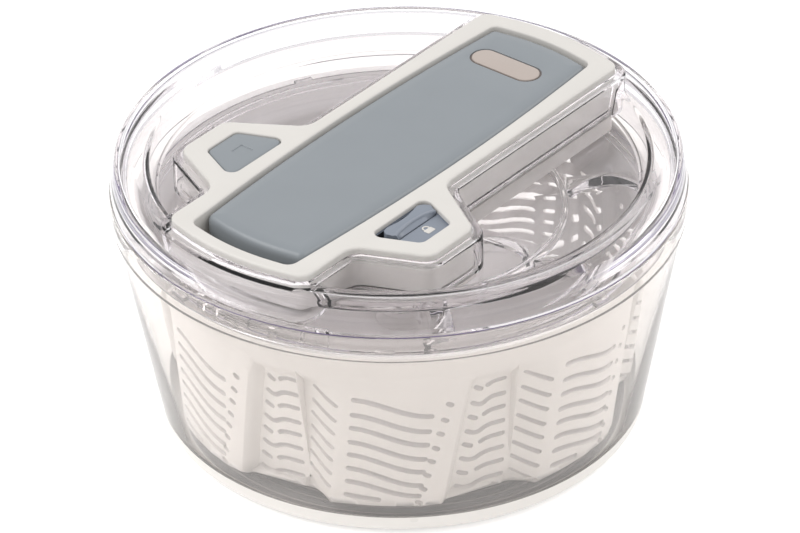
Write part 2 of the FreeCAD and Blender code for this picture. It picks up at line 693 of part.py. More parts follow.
def drive_rack():
    """The rack that the crank pulls along; its teeth face the first gear's pinion."""
    body = new_body("drive_rack")
    root = f"{RACK_LINE} + 1.15 * rack_module"
    tip = f"{RACK_LINE} - 0.9 * rack_module"
    back = "arm_outer - 0.7"
    pad(body, [box_loop("rack_near", "rack_far", root, back)], "high_gear + 0.5", "rack_gear_top")
    block = box_loop(f"{CRANK_X} - 4.5", f"{CRANK_X} + 4.5", root, back)
    pad(body, [block], "rack_gear_top - 8", "rack_gear_top + 0.8")
    slot = box_loop(f"{CRANK_X} - crank_pin_radius - 0.15", f"{CRANK_X} + crank_pin_radius + 0.15",
                    f"{tip} - 1", "arm_outer")
    pocket(body, [slot], "rack_gear_top - 7", "rack_gear_top + 2")
    # one tooth, then its copies at the rack's pitch
    pitch = "(pi * rack_module)"
    lean = "tan(pressure)"
    start = f"(first_x - 1.5 * {pitch})"
    at_root = f"({pitch} / 4 - backlash / 4 + 1.15 * rack_module * {lean})"
    at_tip = f"({pitch} / 4 - backlash / 4 - 0.9 * rack_module * {lean})"
    tooth = [(f"{start} - {at_root}", root), (f"{start} + {at_root}", root),
             (f"{start} + {at_tip}", tip), (f"{start} - {at_tip}", tip)]
    first = pad(body, [tooth], "high_gear + 0.5", "rack_gear_top")
    row = body.newObject("PartDesign::LinearPattern", "rack_teeth")
    row.Originals = [first]
    axis = [item for item in body.Origin.OriginFeatures if item.Role == "X_Axis"][0]
    row.Direction = (axis, [""])
    set_size(row, "Occurrences", "rack_teeth")
    set_size(row, "Length", f"(rack_teeth - 1) * {pitch}")
    body.Tip = row
    doc.recompute()
    return body


def gear_wheel(teeth, module, low, high, phase):
    """A spur gear about the vertical axis, with involute flanks and a tooth centred on phase."""
    pressure = math.radians(size("pressure"))
    pitch_radius = teeth * module / 2
    base = pitch_radius * math.cos(pressure)
    tip, root = pitch_radius + 0.9 * module, pitch_radius - 1.15 * module
    half_tooth = (math.pi * module / 2 - size("backlash") / 2) / (2 * pitch_radius)
    rolled = math.tan(pressure) - pressure

    def flank(radius):
        """Half the tooth's angle at a radius."""
        slope = math.acos(min(1.0, base / radius))
        return half_tooth + rolled - (math.tan(slope) - slope)
    steps = 4
    start = max(base, root)
    radii = [start + (tip - start) * step / steps for step in range(steps + 1)]
    if root < base:
        radii.insert(0, root)
    points = []
    for tooth in range(teeth):
        middle = phase + 2 * math.pi * tooth / teeth
        angles = [(radius, middle - flank(radius)) for radius in radii]
        angles += [(radius, middle + flank(radius)) for radius in reversed(radii)]
        points += [FreeCAD.Vector(r * math.cos(a), r * math.sin(a), low) for r, a in angles]
    outline = Part.makePolygon(points + points[:1])
    return Part.Face(outline).extrude(FreeCAD.Vector(0, 0, high - low))


def shaft(radius, low, high):
    return Part.makeCylinder(radius, high - low, FreeCAD.Vector(0, 0, low))


def gear_feature(label, shape, x, y):
    item = doc.addObject("Part::Feature", label)
    item.Label = label
    item.Shape = shape
    item.Placement = FreeCAD.Placement(FreeCAD.Vector(x, y, 0), FreeCAD.Rotation())
    parts.append(item)
    return item


def train_angles():
    """Directions from the first gear to the second, and from the second to the centre."""
    first, second = [(size(x), size(y)) for x, y in gear_places()]
    towards_second = math.atan2(second[1] - first[1], second[0] - first[0])
    towards_centre = math.atan2(-second[1], -second[0])
    return first, second, towards_second, towards_centre


def gear_levels():
    low, high = size("low_gear"), size("high_gear")
    return low, low + size("low_face"), high, high + size("high_face")


def first_gear():
    """The pinion that the rack turns, on top of the train's largest wheel."""
    place, _, towards_second, _ = train_angles()
    low, low_top, high, _ = gear_levels()
    small, big = int(size("small_teeth")), int(size("big_teeth"))
    top = size("rack_gear_top")
    wheel = gear_wheel(big, size("tooth_module"), low, low_top, towards_second)
    pinion = gear_wheel(small, size("rack_module"), low_top, top, math.pi / 2)
    bore = shaft(size("axle_radius + running"), low - 1, top + 1)
    gear_feature("first_gear", wheel.fuse(pinion).cut(bore).removeSplitter(), *place)


def second_gear():
    """A pinion under a wheel: the wheel turns the clutch's pinion."""
    _, place, towards_second, towards_centre = train_angles()
    low, low_top, high, high_top = gear_levels()
    small, mid = int(size("small_teeth")), int(size("mid_teeth"))
    module = size("tooth_module")
    gap_phase = towards_second + math.pi + math.pi / small
    pinion = gear_wheel(small, module, low, high, gap_phase)
    wheel = gear_wheel(mid, module, high, high_top, towards_centre)
    bore = shaft(size("axle_radius + running"), low - 1, high_top + 1)
    gear_feature("second_gear", pinion.fuse(wheel).cut(bore).removeSplitter(), *place)


def roller_places():
    radius = size("race_radius - roller_radius - 0.15")
    turns = [math.radians(120 * step) for step in range(3)]
    return [FreeCAD.Vector(radius * math.cos(a), radius * math.sin(a), 0) for a in turns]


def clutch_hub():
    """The pinion, journal and roller carrier of the one-way clutch."""
    _, _, _, towards_centre = train_angles()
    _, _, high, high_top = gear_levels()
    small = int(size("small_teeth"))
    gap_phase = towards_centre + math.pi + math.pi / small
    carrier_low, carrier_top = size("carrier_low"), size("carrier_top")
    journal_top = size("journal_top")
    hub = gear_wheel(small, size("tooth_module"), high, high_top, gap_phase)
    hub = hub.fuse(shaft(size("neck_radius - 0.3"), journal_top, high))
    hub = hub.fuse(shaft(size("journal_radius"), carrier_top, journal_top))
    hub = hub.fuse(shaft(size("carrier_radius"), carrier_low, carrier_top))
    for place in roller_places():
        pocket_shape = shaft(size("roller_radius + 0.4"), carrier_low - 1, carrier_top + 0.2)
        pocket_shape.translate(place)
        hub = hub.cut(pocket_shape)
    bore = shaft(size("centre_radius + running"), carrier_low - 1, high_top + 1)
    gear_feature("clutch_hub", hub.cut(bore).removeSplitter(), 0, 0)


def clutch_rollers():
    """The three rollers that wedge against the driver's cup."""
    body = new_body("clutch_rollers")
    centre = "race_radius - roller_radius - 0.15"
    first = pad(body, [("circle", centre, "0", "roller_radius")], "carrier_low + 0.4", "carrier_top - 0.4")
    repeat(body, [first], "3")
    return body


# ---------------------------------------------------------------- driver

def centre_axle():
    body = new_body("centre_axle")
    turn(body, [[
        ("0", "centre_low"),
        ("centre_radius", "centre_low", "0.2"),
        ("centre_radius", "centre_low + 0.4"),
        ("centre_radius - 0.4", "centre_low + 0.4"),
        ("centre_radius - 0.4", "centre_low + 1.4"),
        ("centre_radius", "centre_low + 1.4"),
        ("centre_radius", "tray_top - 1"),
        ("0", "tray_top - 1"),
    ]])
    return body


def axle_circlip():
    body = new_body("axle_circlip")
    clip = ring_loops("centre_radius + 1.6", "centre_radius - 0.35")
    pad(body, clip, "centre_low + 0.5", "centre_low + 1.3")
    pocket(body, [box_loop("2", "6", "-1.2", "1.2")], "centre_low", "centre_low + 2")
    return body


def spoke_loop(near, far):
    """The outline of a straight rib that runs outwards at the ribs' own angle."""
    along, aside = "cos(rib_turn)", "sin(rib_turn)"
    half = "rib_wide / 2"
    places = ((near, "-1"), (far, "-1"), (far, "1"), (near, "1"))
    corners = []
    for reach, side in places:
        across = f"({reach}) * {along} - {side} * {half} * {aside}"
        up = f"({reach}) * {aside} + {side} * {half} * {along}"
        corners.append((across, up))
    return corners


def driver_disc():
    """The clear ribbed disc that turns the basket, with the clutch's cup in its middle."""
    body = new_body("driver_disc")
    bore = "centre_radius + running"
    turn(body, [[
        (bore, "cup_low"),
        ("cup_radius", "cup_low", "0.8"),
        ("cup_radius", "disc_low"),
        ("disc_radius", "disc_low"),
        ("disc_radius", "disc_top", "0.8"),
        ("race_radius", "disc_top"),
        ("race_radius", "cup_low + 2"),
        (bore, "cup_low + 2"),
    ]])
    pad(body, ring_loops("disc_radius - 2.4", "disc_radius - 4.4"), "rib_low", "disc_low + 0.1")
    ring = ring_loops("ring_rib + rib_wide / 2", "ring_rib - rib_wide / 2")
    pad(body, ring, "rib_low", "disc_low + 0.1")
    rib = pad(body, [spoke_loop("cup_radius - 0.5", "disc_radius - 3")], "rib_low", "disc_low + 0.1")
    repeat(body, [rib], "rib_count")
    tab = box_loop("disc_radius - 2", "lug_reach", "-notch_wide / 2 + 0.8", "notch_wide / 2 - 0.8")
    lug = pad(body, [tab], "disc_low", "disc_top - 0.2")
    repeat(body, [lug], "lobe_count")
    face_lobes(body)
    return body


# ---------------------------------------------------------------- buttons

def stop_button():
    """The stop button: a hollow cap on a long stem that reaches the brake pad."""
    body = new_body("stop_button")
    pad(body, [window_loop("1", "-button_gap")], "button_low", "button_top")
    round_edges(body, "1", level_edge("button_top"))
    pocket(body, [window_loop("1", "-button_gap - 1.6")], "button_low - 1", "button_top - 2.5")
    stem = ("circle", "stem_place", "stem_reach", "stem_radius")
    pad(body, [stem], "pad_low + pad_high", "button_top - 2")
    return body


def brake_pad():
    """The soft pad that the stop button presses on the driver disc."""
    body = new_body("brake_pad")
    pad(body, [("circle", "stem_place", "stem_reach", "pad_radius")], "pad_low", "pad_low + pad_high")
    return body


def window_edge(near, across):
    """How far along X the lock window's slanted edge is, at a distance from the lever's middle."""
    inner, outer = ("window_near", "window_near_out") if near else ("window_far", "window_far_out")
    share = f"(({across}) - window_inner) / (window_outer - window_inner)"
    return f"({inner} + ({outer} - {inner}) * {share})"


def lock_channel(near_gap, far_gap, inner, outer, corner="0.2"):
    """A four-cornered outline between the window's slanted edges, with a gap at each.

    The two corners nearest the lever have a rounding.
    """
    return [
        (f"{window_edge(True, inner)} + {near_gap}", f"-({inner})", corner),
        (f"{window_edge(False, inner)} - {far_gap}", f"-({inner})", corner),
        (f"{window_edge(False, outer)} - {far_gap}", f"-({outer})"),
        (f"{window_edge(True, outer)} + {near_gap}", f"-({outer})"),
    ]


def tongue_path(gap, inner, outer):
    """The box in plan that the lock's tongue sweeps, with a gap at each end."""
    return box_loop(f"stem_place - tongue_half - lock_travel - {gap}",
                    f"stem_place + tongue_half + {gap}", f"-({outer})", f"-({inner})")


def lock_plate():
    """The tray under the lock's window: a shelf, and beside the lever the channel of the slider."""
    body = new_body("lock_plate")
    pad(body, [window_loop("-1", "1.2")], "lock_floor - 1.6", "frame_top - frame_sheet - 0.02")
    pocket(body, [window_loop("-1", "-0.1")], "lock_shelf", "frame_top")
    channel = lock_channel("0.3", "0.3", "window_inner + 0.2", "lock_outer + 0.8")
    pocket(body, [channel], "lock_floor", "lock_shelf + 0.1")
    pocket(body, [tongue_path("0.4", "35", "42")], "lock_floor", "lock_floor + tongue_high + 0.7")
    return body


def lock_slider():
    """The lock: a thumb piece that slides along the lever, with a tongue in the lever's side."""
    body = new_body("lock_slider")
    low = "lock_floor + 0.3"
    step = f"{low} + tongue_high"
    thumb = lock_channel("lock_travel + 0.6", "0.8", "lock_inner", "lock_outer", "window_round")
    pad(body, [thumb], low, "lock_top")
    scoop = ("circle", "stem_place + 0.6", "thumb_radius - thumb_waist", "thumb_radius")
    pocket(body, [scoop], step, "lock_top + 1")
    tongue = box_loop("stem_place - tongue_half", "stem_place + tongue_half",
                      "-lock_inner - 2", "-tongue_tip")
    pad(body, [tongue], low, step)
    return body


def axles():
    first, second = gear_places()
    rod("first_axle", "axle_radius", "axle_low", "axle_top", *first)
    rod("second_axle", "axle_radius", "axle_low", "axle_top", *second)


MAKERS = (
    bowl_shell, grip_ring, pivot_pin, pivot_bush, basket,
    lid_shell, top_frame, gear_case, case_screws, hinge_pin, centre_axle, axle_circlip, axles,
    stop_spring, return_spring, lock_plate,
    lever_cover, lever_badge, lever_frame, crank_pin,
    drive_rack, first_gear, second_gear, clutch_hub, clutch_rollers, driver_disc,
    stop_button, brake_pad, lock_slider,
)
for make in MAKERS:
    make()
doc.recompute()

for item in doc.Objects:
    if {"Invalid", "Error"} & set(item.State):
        raise RuntimeError(f"{item.Name} is {item.State}")
os.makedirs("parts", exist_ok=True)
for part in parts:
    if part.Shape.isNull() or not part.Shape.isValid():
        raise RuntimeError(f"{part.Label} has no valid shape")
for part in parts:
    part.Shape.exportStep(f"parts/{part.Label}.step")
    print(part.Label, round(part.Shape.Volume), len(part.Shape.Solids))
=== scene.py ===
import math

import bmesh
import bpy
import numpy as np
from mathutils import Matrix, Vector
from mathutils.geometry import delaunay_2d_cdt


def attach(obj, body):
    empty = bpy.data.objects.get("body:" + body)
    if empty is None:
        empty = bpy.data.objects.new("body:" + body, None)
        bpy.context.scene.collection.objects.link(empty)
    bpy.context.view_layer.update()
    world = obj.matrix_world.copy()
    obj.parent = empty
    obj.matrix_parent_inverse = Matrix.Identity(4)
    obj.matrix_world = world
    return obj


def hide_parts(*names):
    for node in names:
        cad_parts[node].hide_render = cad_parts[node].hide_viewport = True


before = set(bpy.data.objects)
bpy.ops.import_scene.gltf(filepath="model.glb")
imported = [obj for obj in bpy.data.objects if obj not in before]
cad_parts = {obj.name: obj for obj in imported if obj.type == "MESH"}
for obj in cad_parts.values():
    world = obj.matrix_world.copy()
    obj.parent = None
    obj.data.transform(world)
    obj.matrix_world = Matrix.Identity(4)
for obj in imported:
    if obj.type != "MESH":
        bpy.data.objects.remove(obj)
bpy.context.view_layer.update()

# Looks of a pump-lever salad spinner. Sizes are in millimetres and become metres in make_mesh.
# +X runs along the lever to its hinge, +Y is the stop button's side, -Y is the lock's side.
MM = 0.001
# How many straight steps a turned piece has round its axis.
TURNS = 256
# Edges sharper than this many degrees stay sharp.
SMOOTH = 35


# ------------------------------------------------------------------ mesh helpers

def make_mesh(name, points, faces, smooth=SMOOTH):
    """A mesh object from points in millimetres, smooth except across edges sharper than an angle."""
    mesh = bpy.data.meshes.new(name)
    mesh.from_pydata([tuple(MM * c for c in p) for p in points], [], faces)
    item = bpy.data.objects.new(name, mesh)
    bpy.context.scene.collection.objects.link(item)
    tidy(item, smooth)
    return item


def tidy(item, smooth=SMOOTH):
    """Join doubled points, turn the faces outwards and shade the mesh smooth."""
    bm = bmesh.new()
    bm.from_mesh(item.data)
    bmesh.ops.remove_doubles(bm, verts=bm.verts, dist=1e-6)
    bmesh.ops.dissolve_degenerate(bm, edges=bm.edges, dist=1e-6)
    bmesh.ops.recalc_face_normals(bm, faces=bm.faces)
    bm.to_mesh(item.data)
    bm.free()
    item.data.polygons.foreach_set("use_smooth", [True] * len(item.data.polygons))
    item.data.set_sharp_from_angle(angle=math.radians(smooth))


def rounded(corners, grow=0.0, steps=8):
    """Points of an outline through corners (x, y, radius), moved outwards by grow, counterclockwise."""
    spots = np.array([c[:2] for c in corners], float)
    area = np.sum(spots[:, 0] * np.roll(spots[:, 1], -1) - spots[:, 1] * np.roll(spots[:, 0], -1))
    radii = [c[2] for c in corners]
    if area < 0:
        spots, radii = spots[::-1], radii[::-1]
    out = []
    for i, spot in enumerate(spots):
        before = spot - spots[i - 1]
        after = spots[(i + 1) % len(spots)] - spot
        before, after = before / np.hypot(*before), after / np.hypot(*after)
        cross = before[0] * after[1] - before[1] * after[0]
        turn = math.atan2(cross, float(before @ after))
        normal = np.array([before[1], -before[0]]) + np.array([after[1], -after[0]])
        normal /= np.hypot(*normal)
        corner = spot + normal * grow / math.cos(turn / 2)
        side = 1 if turn > 0 else -1
        radius = max(radii[i] + side * grow, 0.05)
        centre = corner - side * normal * radius / math.cos(turn / 2)
        start = math.atan2(-before[0] * side, before[1] * side)
        angles = start + turn * np.linspace(0, 1, steps + 1)
        out += [(centre[0] + radius * math.cos(a), centre[1] + radius * math.sin(a)) for a in angles]
    return np.array(out)


def quarter(grow_from, level_from, grow_to, level_to, steps=6, outward=False):
    """(grow, level) pairs along a quarter round between two places."""
    pairs = []
    for step in range(steps + 1):
        a = math.pi / 2 * step / steps
        s, c = (math.sin(a), 1 - math.cos(a)) if outward else (1 - math.cos(a), math.sin(a))
        pairs.append((grow_from + (grow_to - grow_from) * s, level_from + (level_to - level_from) * c))
    return pairs


class Shape:
    """Collects rings of points and the faces between them."""

    def __init__(self):
        self.points = []
        self.faces = []

    def ring(self, outline, level):
        """Adds points along an outline, at one level or at a list of levels, and returns their numbers."""
        first = len(self.points)
        levels = level if hasattr(level, "__len__") else [level] * len(outline)
        self.points += [(p[0], p[1], h) for p, h in zip(outline, levels)]
        return list(range(first, first + len(outline)))

    def join(self, low, high):
        """Adds the band of faces between two rings."""
        total = len(low)
        for i in range(total):
            k = (i + 1) % total
            self.faces.append((low[i], low[k], high[k], high[i]))

    def wall(self, corners, path, steps=8):
        """A wall that follows an outline along (grow, level) pairs; returns its first and last rings."""
        rings = [self.ring(rounded(corners, grow, steps), level) for grow, level in path]
        for low, high in zip(rings, rings[1:]):
            self.join(low, high)
        return rings[0], rings[-1]

    def cap(self, ring):
        self.faces.append(tuple(ring))

    def plate(self, rings):
        """A flat face with holes: the first ring is its edge and the others are its holes."""
        bm = bmesh.new()
        back = {}
        edges = []
        for ring in rings:
            spots = []
            for index in ring:
                if not spots or (Vector(self.points[index]) - spots[-1].co).length > 1e-4:
                    vert = bm.verts.new(self.points[index])
                    back[vert] = index
                    spots.append(vert)
            if (spots[0].co - spots[-1].co).length < 1e-4:
                last = spots.pop()
                bm.verts.remove(last)
                back.pop(last)
            edges += [bm.edges.new((a, b)) for a, b in zip(spots, spots[1:] + spots[:1])]
        made = bmesh.ops.triangle_fill(bm, use_beauty=True, edges=edges)
        for face in [g for g in made["geom"] if isinstance(g, bmesh.types.BMFace)]:
            self.faces.append(tuple(back[v] for v in face.verts))
        bm.free()

    def build(self, name, smooth=SMOOTH):
        return make_mesh(name, self.points, self.faces, smooth)


def lathe(name, corners, turns=TURNS, steps=6):
    """A ring turned round the vertical axis from a profile of (radius, height, rounding)."""
    profile = rounded(corners, 0, steps)
    shape = Shape()
    angles = np.arange(turns) * 2 * math.pi / turns
    circle = np.column_stack([np.cos(angles), np.sin(angles)])
    rings = [shape.ring(circle * max(r, 0.001), z) for r, z in profile]
    for low, high in zip(rings, rings[1:] + rings[:1]):
        shape.join(low, high)
    return shape.build(name)


def combine(item, other, operation):
    """A boolean between two closed meshes; the other one is removed."""
    tool = item.modifiers.new(operation, "BOOLEAN")
    tool.operation = operation
    tool.solver = "EXACT"
    tool.object = other
    graph = bpy.context.evaluated_depsgraph_get()
    mesh = bpy.data.meshes.new_from_object(item.evaluated_get(graph))
    item.modifiers.clear()
    old = item.data
    item.data = mesh
    bpy.data.meshes.remove(old)
    bpy.data.objects.remove(other)
    tidy(item)
    return item


def thicken(item, amount):
    """Give an open sheet a thickness, inwards from its face."""
    wall = item.modifiers.new("wall", "SOLIDIFY")
    wall.thickness = amount * MM
    wall.offset = -1
    graph = bpy.context.evaluated_depsgraph_get()
    mesh = bpy.data.meshes.new_from_object(item.evaluated_get(graph))
    item.modifiers.clear()
    item.data = mesh
    tidy(item)


def merge(items, name):
    """One object from several that belong to the same moulding."""
    bm = bmesh.new()
    for item in items:
        bm.from_mesh(item.data)
    mesh = bpy.data.meshes.new(name)
    bm.to_mesh(mesh)
    bm.free()
    mesh.polygons.foreach_set("use_smooth", [True] * len(mesh.polygons))
    for item in items:
        bpy.data.objects.remove(item)
    whole = bpy.data.objects.new(name, mesh)
    bpy.context.scene.collection.objects.link(whole)
    mesh.set_sharp_from_angle(angle=math.radians(SMOOTH))
    return whole


# ------------------------------------------------------------------ materials

def new_material(name):
    material = bpy.data.materials.new(name)
    material.use_nodes = True
    tree = material.node_tree
    shader = tree.nodes["Principled BSDF"]
    return material, tree, shader


def add_grain(tree, shader, scale, strength, rough, spread):
    """Fine moulding grain in the bump, and slow changes in roughness; returns the slow noise."""
    place = tree.nodes.new("ShaderNodeTexCoord")
    noise = tree.nodes.new("ShaderNodeTexNoise")
    noise.inputs["Scale"].default_value = scale
    noise.inputs["Detail"].default_value = 3
    bump = tree.nodes.new("ShaderNodeBump")
    bump.inputs["Strength"].default_value = strength
    bump.inputs["Distance"].default_value = 0.0002
    slow = tree.nodes.new("ShaderNodeTexNoise")
    slow.inputs["Scale"].default_value = 45
    span = tree.nodes.new("ShaderNodeMapRange")
    span.inputs["To Min"].default_value = rough - spread
    span.inputs["To Max"].default_value = rough + spread
    link = tree.links.new
    link(place.outputs["Object"], noise.inputs["Vector"])
    link(place.outputs["Object"], slow.inputs["Vector"])
    link(noise.outputs["Fac"], bump.inputs["Height"])
    link(bump.outputs["Normal"], shader.inputs["Normal"])
    link(slow.outputs["Fac"], span.inputs["Value"])
    link(span.outputs["Result"], shader.inputs["Roughness"])
    return slow


def plastic(name, colour, rough=0.35, spread=0.05, grain=0.15, scale=2500, tint=0.04):
    """Moulded plastic with fine grain and a slight drift in its colour."""
    material, tree, shader = new_material(name)
    slow = add_grain(tree, shader, scale, grain, rough, spread)
    mix = tree.nodes.new("ShaderNodeMix")
    mix.data_type = "RGBA"
    mix.inputs["A"].default_value = (*[c * (1 - tint) for c in colour], 1)
    mix.inputs["B"].default_value = (*[min(1, c * (1 + tint)) for c in colour], 1)
    tree.links.new(slow.outputs["Fac"], mix.inputs["Factor"])
    tree.links.new(mix.outputs["Result"], shader.inputs["Base Color"])
    shader.inputs["IOR"].default_value = 1.5
    return material


def metal(name, colour, rough):
    """Drawn or rolled metal with faint grain."""
    material, tree, shader = new_material(name)
    shader.inputs["Metallic"].default_value = 1
    shader.inputs["Base Color"].default_value = (*colour, 1)
    add_grain(tree, shader, scale=1800, strength=0.1, rough=rough, spread=0.06)
    return material


# What the clear plastic does to light that only casts a shadow, and to light that runs deep inside it.
SHADOW_TINT = (0.985, 0.98, 0.99)
EDGE_TINT = (0.66, 0.61, 0.76)
EDGE_DENSITY = 8


def clear_plastic(name, tint, rough=0.02, bend=1.34, clear=1.0, deep=True):
    """Styrene that lamps shine through. clear is how much of it isn't milky, and deep adds lavender edges."""
    material, tree, shader = new_material(name)
    shader.inputs["Base Color"].default_value = (*tint, 1)
    shader.inputs["Transmission Weight"].default_value = clear
    shader.inputs["IOR"].default_value = bend
    add_grain(tree, shader, scale=120, strength=0.05, rough=rough, spread=0.008)
    rays = tree.nodes.new("ShaderNodeLightPath")
    open_air = tree.nodes.new("ShaderNodeBsdfTransparent")
    open_air.inputs["Color"].default_value = (*SHADOW_TINT, 1)
    mix = tree.nodes.new("ShaderNodeMixShader")
    out = tree.nodes["Material Output"]
    link = tree.links.new
    link(rays.outputs["Is Shadow Ray"], mix.inputs["Fac"])
    link(shader.outputs["BSDF"], mix.inputs[1])
    link(open_air.outputs["BSDF"], mix.inputs[2])
    link(mix.outputs["Shader"], out.inputs["Surface"])
    if not deep:
        return material
    depth = tree.nodes.new("ShaderNodeVolumeAbsorption")
    depth.inputs["Color"].default_value = (*EDGE_TINT, 1)
    depth.inputs["Density"].default_value = EDGE_DENSITY
    link(depth.outputs["Volume"], out.inputs["Volume"])
    return material


CLEAR = clear_plastic("clear_styrene", (0.98, 0.97, 0.975))
BOWL_CLEAR = clear_plastic("clear_bowl_styrene", (0.92, 0.895, 0.875), bend=1.15, clear=0.9, deep=False)
BOWL_BASE = plastic("bowl_base_mist", (0.72, 0.69, 0.655), 0.3, 0.05)
RIM_LINE = plastic("rim_line", (0.10, 0.07, 0.17), 0.3)
FRAME_WHITE = plastic("frame_white", (0.62, 0.597, 0.565), 0.38, 0.04)
LEVER_GREY = plastic("lever_grey", (0.222, 0.243, 0.262), rough=0.30, spread=0.04, grain=0.1)
LOCK_GREY = plastic("lock_grey", (0.20, 0.225, 0.27), 0.32, 0.04)
# Dark plastic for the CAD's lever frame, and painted shade inside the lock tray's channel.
DARK_PLASTIC_AND_SHADE = plastic("dark_plastic", (0.035, 0.036, 0.04), 0.5)
BADGE_BEIGE = plastic("badge_beige", (0.42, 0.36, 0.325), 0.35, 0.04)
# Painted shade: a dark colour for the floor of the badge's recess, standing in for shade in the gap round the
# badge.
BADGE_GAP_SHADE = plastic("badge_gap_painted_shade", (0.16, 0.13, 0.12), 0.4)
BASKET_WHITE = plastic("basket_white", (0.80, 0.775, 0.75), rough=0.32, grain=0.1, scale=900)
GEAR_WHITE = plastic("gear_white", (0.82, 0.82, 0.78), 0.4)
RUBBER = plastic("grip_rubber", (0.035, 0.034, 0.042), rough=0.55, spread=0.06, grain=0.4, scale=1500)
# Painted light: a pale colour for the floors of the grip ring's top grooves, standing in for light that shows
# through the gaps between its ribs.
GROOVE_PAINTED_LIGHT = plastic("grip_groove_painted_light", (0.36, 0.35, 0.33), rough=0.5, spread=0.06, grain=0.3)
STEEL = metal("pin_steel", (0.62, 0.62, 0.64), 0.25)
ZINC = metal("zinc_steel", (0.55, 0.55, 0.56), 0.35)
BLUED = metal("spring_steel", (0.2, 0.2, 0.22), 0.3)


def finish_piece(item, body, material, node=None):
    """Give a piece its material and its body, and hide the CAD node that it stands for."""
    if not item.data.materials:
        item.data.materials.append(material)
    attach(item, body)
    if node:
        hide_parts(node)


# ------------------------------------------------------------------ shared outlines

def bridge_outline():
    """The housing's outline in plan."""
    end_radius, slope = 117, math.radians(14)
    half, reach = 39.3, 72
    tip = end_radius / math.cos(slope)
    side = tip - half * math.tan(slope)
    near_foot, near_head, far_head, far_foot = -80, -65, -36, -15.5
    end, inner, outer = 6, 10, 7
    return [
        (-tip, 0, end_radius), (-side, -half, end), (near_foot, -half, inner), (near_head, -reach, outer),
        (far_head, -reach, outer), (far_foot, -half, inner), (side, -half, end), (tip, 0, end_radius),
        (side, half, end), (far_foot, half, inner), (far_head, reach, outer), (near_head, reach, outer),
        (near_foot, half, inner), (-side, half, end),
    ]


def lever_outline(near_grow=0.0, far_grow=0.0):
    """The lever's outline in plan, its ends moved out on their own."""
    slope = math.radians(10)
    near_radius, far_radius = 102 + near_grow, 106 + far_grow
    near_half, far_half = 27.6, 27.3
    waist, bow_radius, corner = 34.5, 1230, 4
    near_tip, far_tip = near_radius / math.cos(slope), far_radius / math.cos(slope)
    near = near_tip - near_half * math.tan(slope)
    far = far_tip - far_half * math.tan(slope)
    return [
        (-near_tip, 0, near_radius), (-near, -near_half, corner),
        (0, -waist, bow_radius), (far, -far_half, corner),
        (far_tip, 0, far_radius), (far, far_half, corner),
        (0, waist, bow_radius), (-near, near_half, corner),
    ]


# The windows of the stop button and the lock: how far out they reach, and where along the lever
# their two slanted edges start and end.
WINDOW_INNER, WINDOW_OUTER = 39.5, 62
WINDOW_NEAR = (-69, -59)
WINDOW_FAR = (-29.5, -39)
WINDOW_CORNER = 4


def window_outline(side):
    """The outline of the window on one side of the lever, 1 for the stop button and -1 for the lock."""
    corners = (
        (WINDOW_NEAR[0], WINDOW_INNER), (WINDOW_FAR[0], WINDOW_INNER),
        (WINDOW_FAR[1], WINDOW_OUTER), (WINDOW_NEAR[1], WINDOW_OUTER),
    )
    return [(x, side * y, WINDOW_CORNER) for x, y in corners]


def window_side(near, across):
    """How far along X a window's slanted edge is, at a distance from the lever's middle."""
    inner, outer = WINDOW_NEAR if near else WINDOW_FAR
    return inner + (outer - inner) * (across - WINDOW_INNER) / (WINDOW_OUTER - WINDOW_INNER)


def box_outline(x, y, wide, long, corner):
    """A rectangle about a middle, with rounded corners."""
    ways = ((-1, -1), (1, -1), (1, 1), (-1, 1))
    return [(x + side * wide / 2, y + end * long / 2, corner) for side, end in ways]


def pill_outline(x, y, wide, long):
    """A slot shape that lies across the lever."""
    return box_outline(x, y, wide, long, wide / 2 - 0.05)


# ------------------------------------------------------------------ bowl and basket

def bowl_shell():
    """The clear bowl, with the milky foot that its wall ends in."""
    item = lathe("bowl_shell", [
        (0, 1.2, 0), (79.9, 1.2, 0.3), (79.9, 3.2, 0.2), (104.1, 3.2, 0.2), (104.1, 1.2, 0.5),
        (110.1, 1.2, 5.5), (111.8, 10.5, 60), (128.6, 104, 2), (129.9, 105.6, 1), (129.9, 117.5, 0.9),
        (127.4, 117.5, 0.9), (127.4, 105, 2), (126.2, 103.4, 2), (108.6, 6, 7),
        (9, 6, 1.5), (8, 10, 0.5), (3.05, 10, 0.2), (3.05, 3.5, 0.2), (0, 3.5, 0),
    ])
    item.data.materials.append(BOWL_CLEAR)
    item.data.materials.append(BOWL_BASE)
    foot_edge, foot_top, foot_slope = 104.2 * MM, 10.5 * MM, 0.5
    for face in item.data.polygons:
        reach = math.hypot(face.center.x, face.center.y)
        if face.center.z < foot_top and reach > foot_edge + face.center.z * foot_slope:
            face.material_index = 1
    finish_piece(item, "bowl", BOWL_CLEAR, "bowl_shell")


def grip_ring():
    """The soft ring, with wide grooves below and narrow ones on top; the floors of the top ones are painted
    light, as if light showed through them.
    """
    grooves = [84.8, 89.6, 94.4, 99.2]
    top, groove_level = 3.05, 2.8
    corners = [(80, top, 0.6), (80, 0, 0.6)]
    for middle in grooves:
        wide = ((-1, 0), (-0.7, 0.8), (0.7, 0.8), (1, 0))
        corners += [(middle + across, level, 0.2) for across, level in wide]
    corners += [(104, 0, 0.6), (104, top, 0.6)]
    for middle in reversed(grooves):
        narrow = ((0.6, top), (0.45, groove_level), (-0.45, groove_level), (-0.6, top))
        corners += [(middle + across, level, 0.1) for across, level in narrow]
    item = lathe("grip_ring", corners, steps=3)
    item.data.materials.append(RUBBER)
    item.data.materials.append(GROOVE_PAINTED_LIGHT)
    # The floors of the top grooves get the pale material: painted light, as if light showed through them.
    for face in item.data.polygons:
        if abs(face.center.z - groove_level * MM) < 0.05 * MM and face.normal.z > 0.5:
            face.material_index = 1
    finish_piece(item, "bowl", RUBBER, "grip_ring")


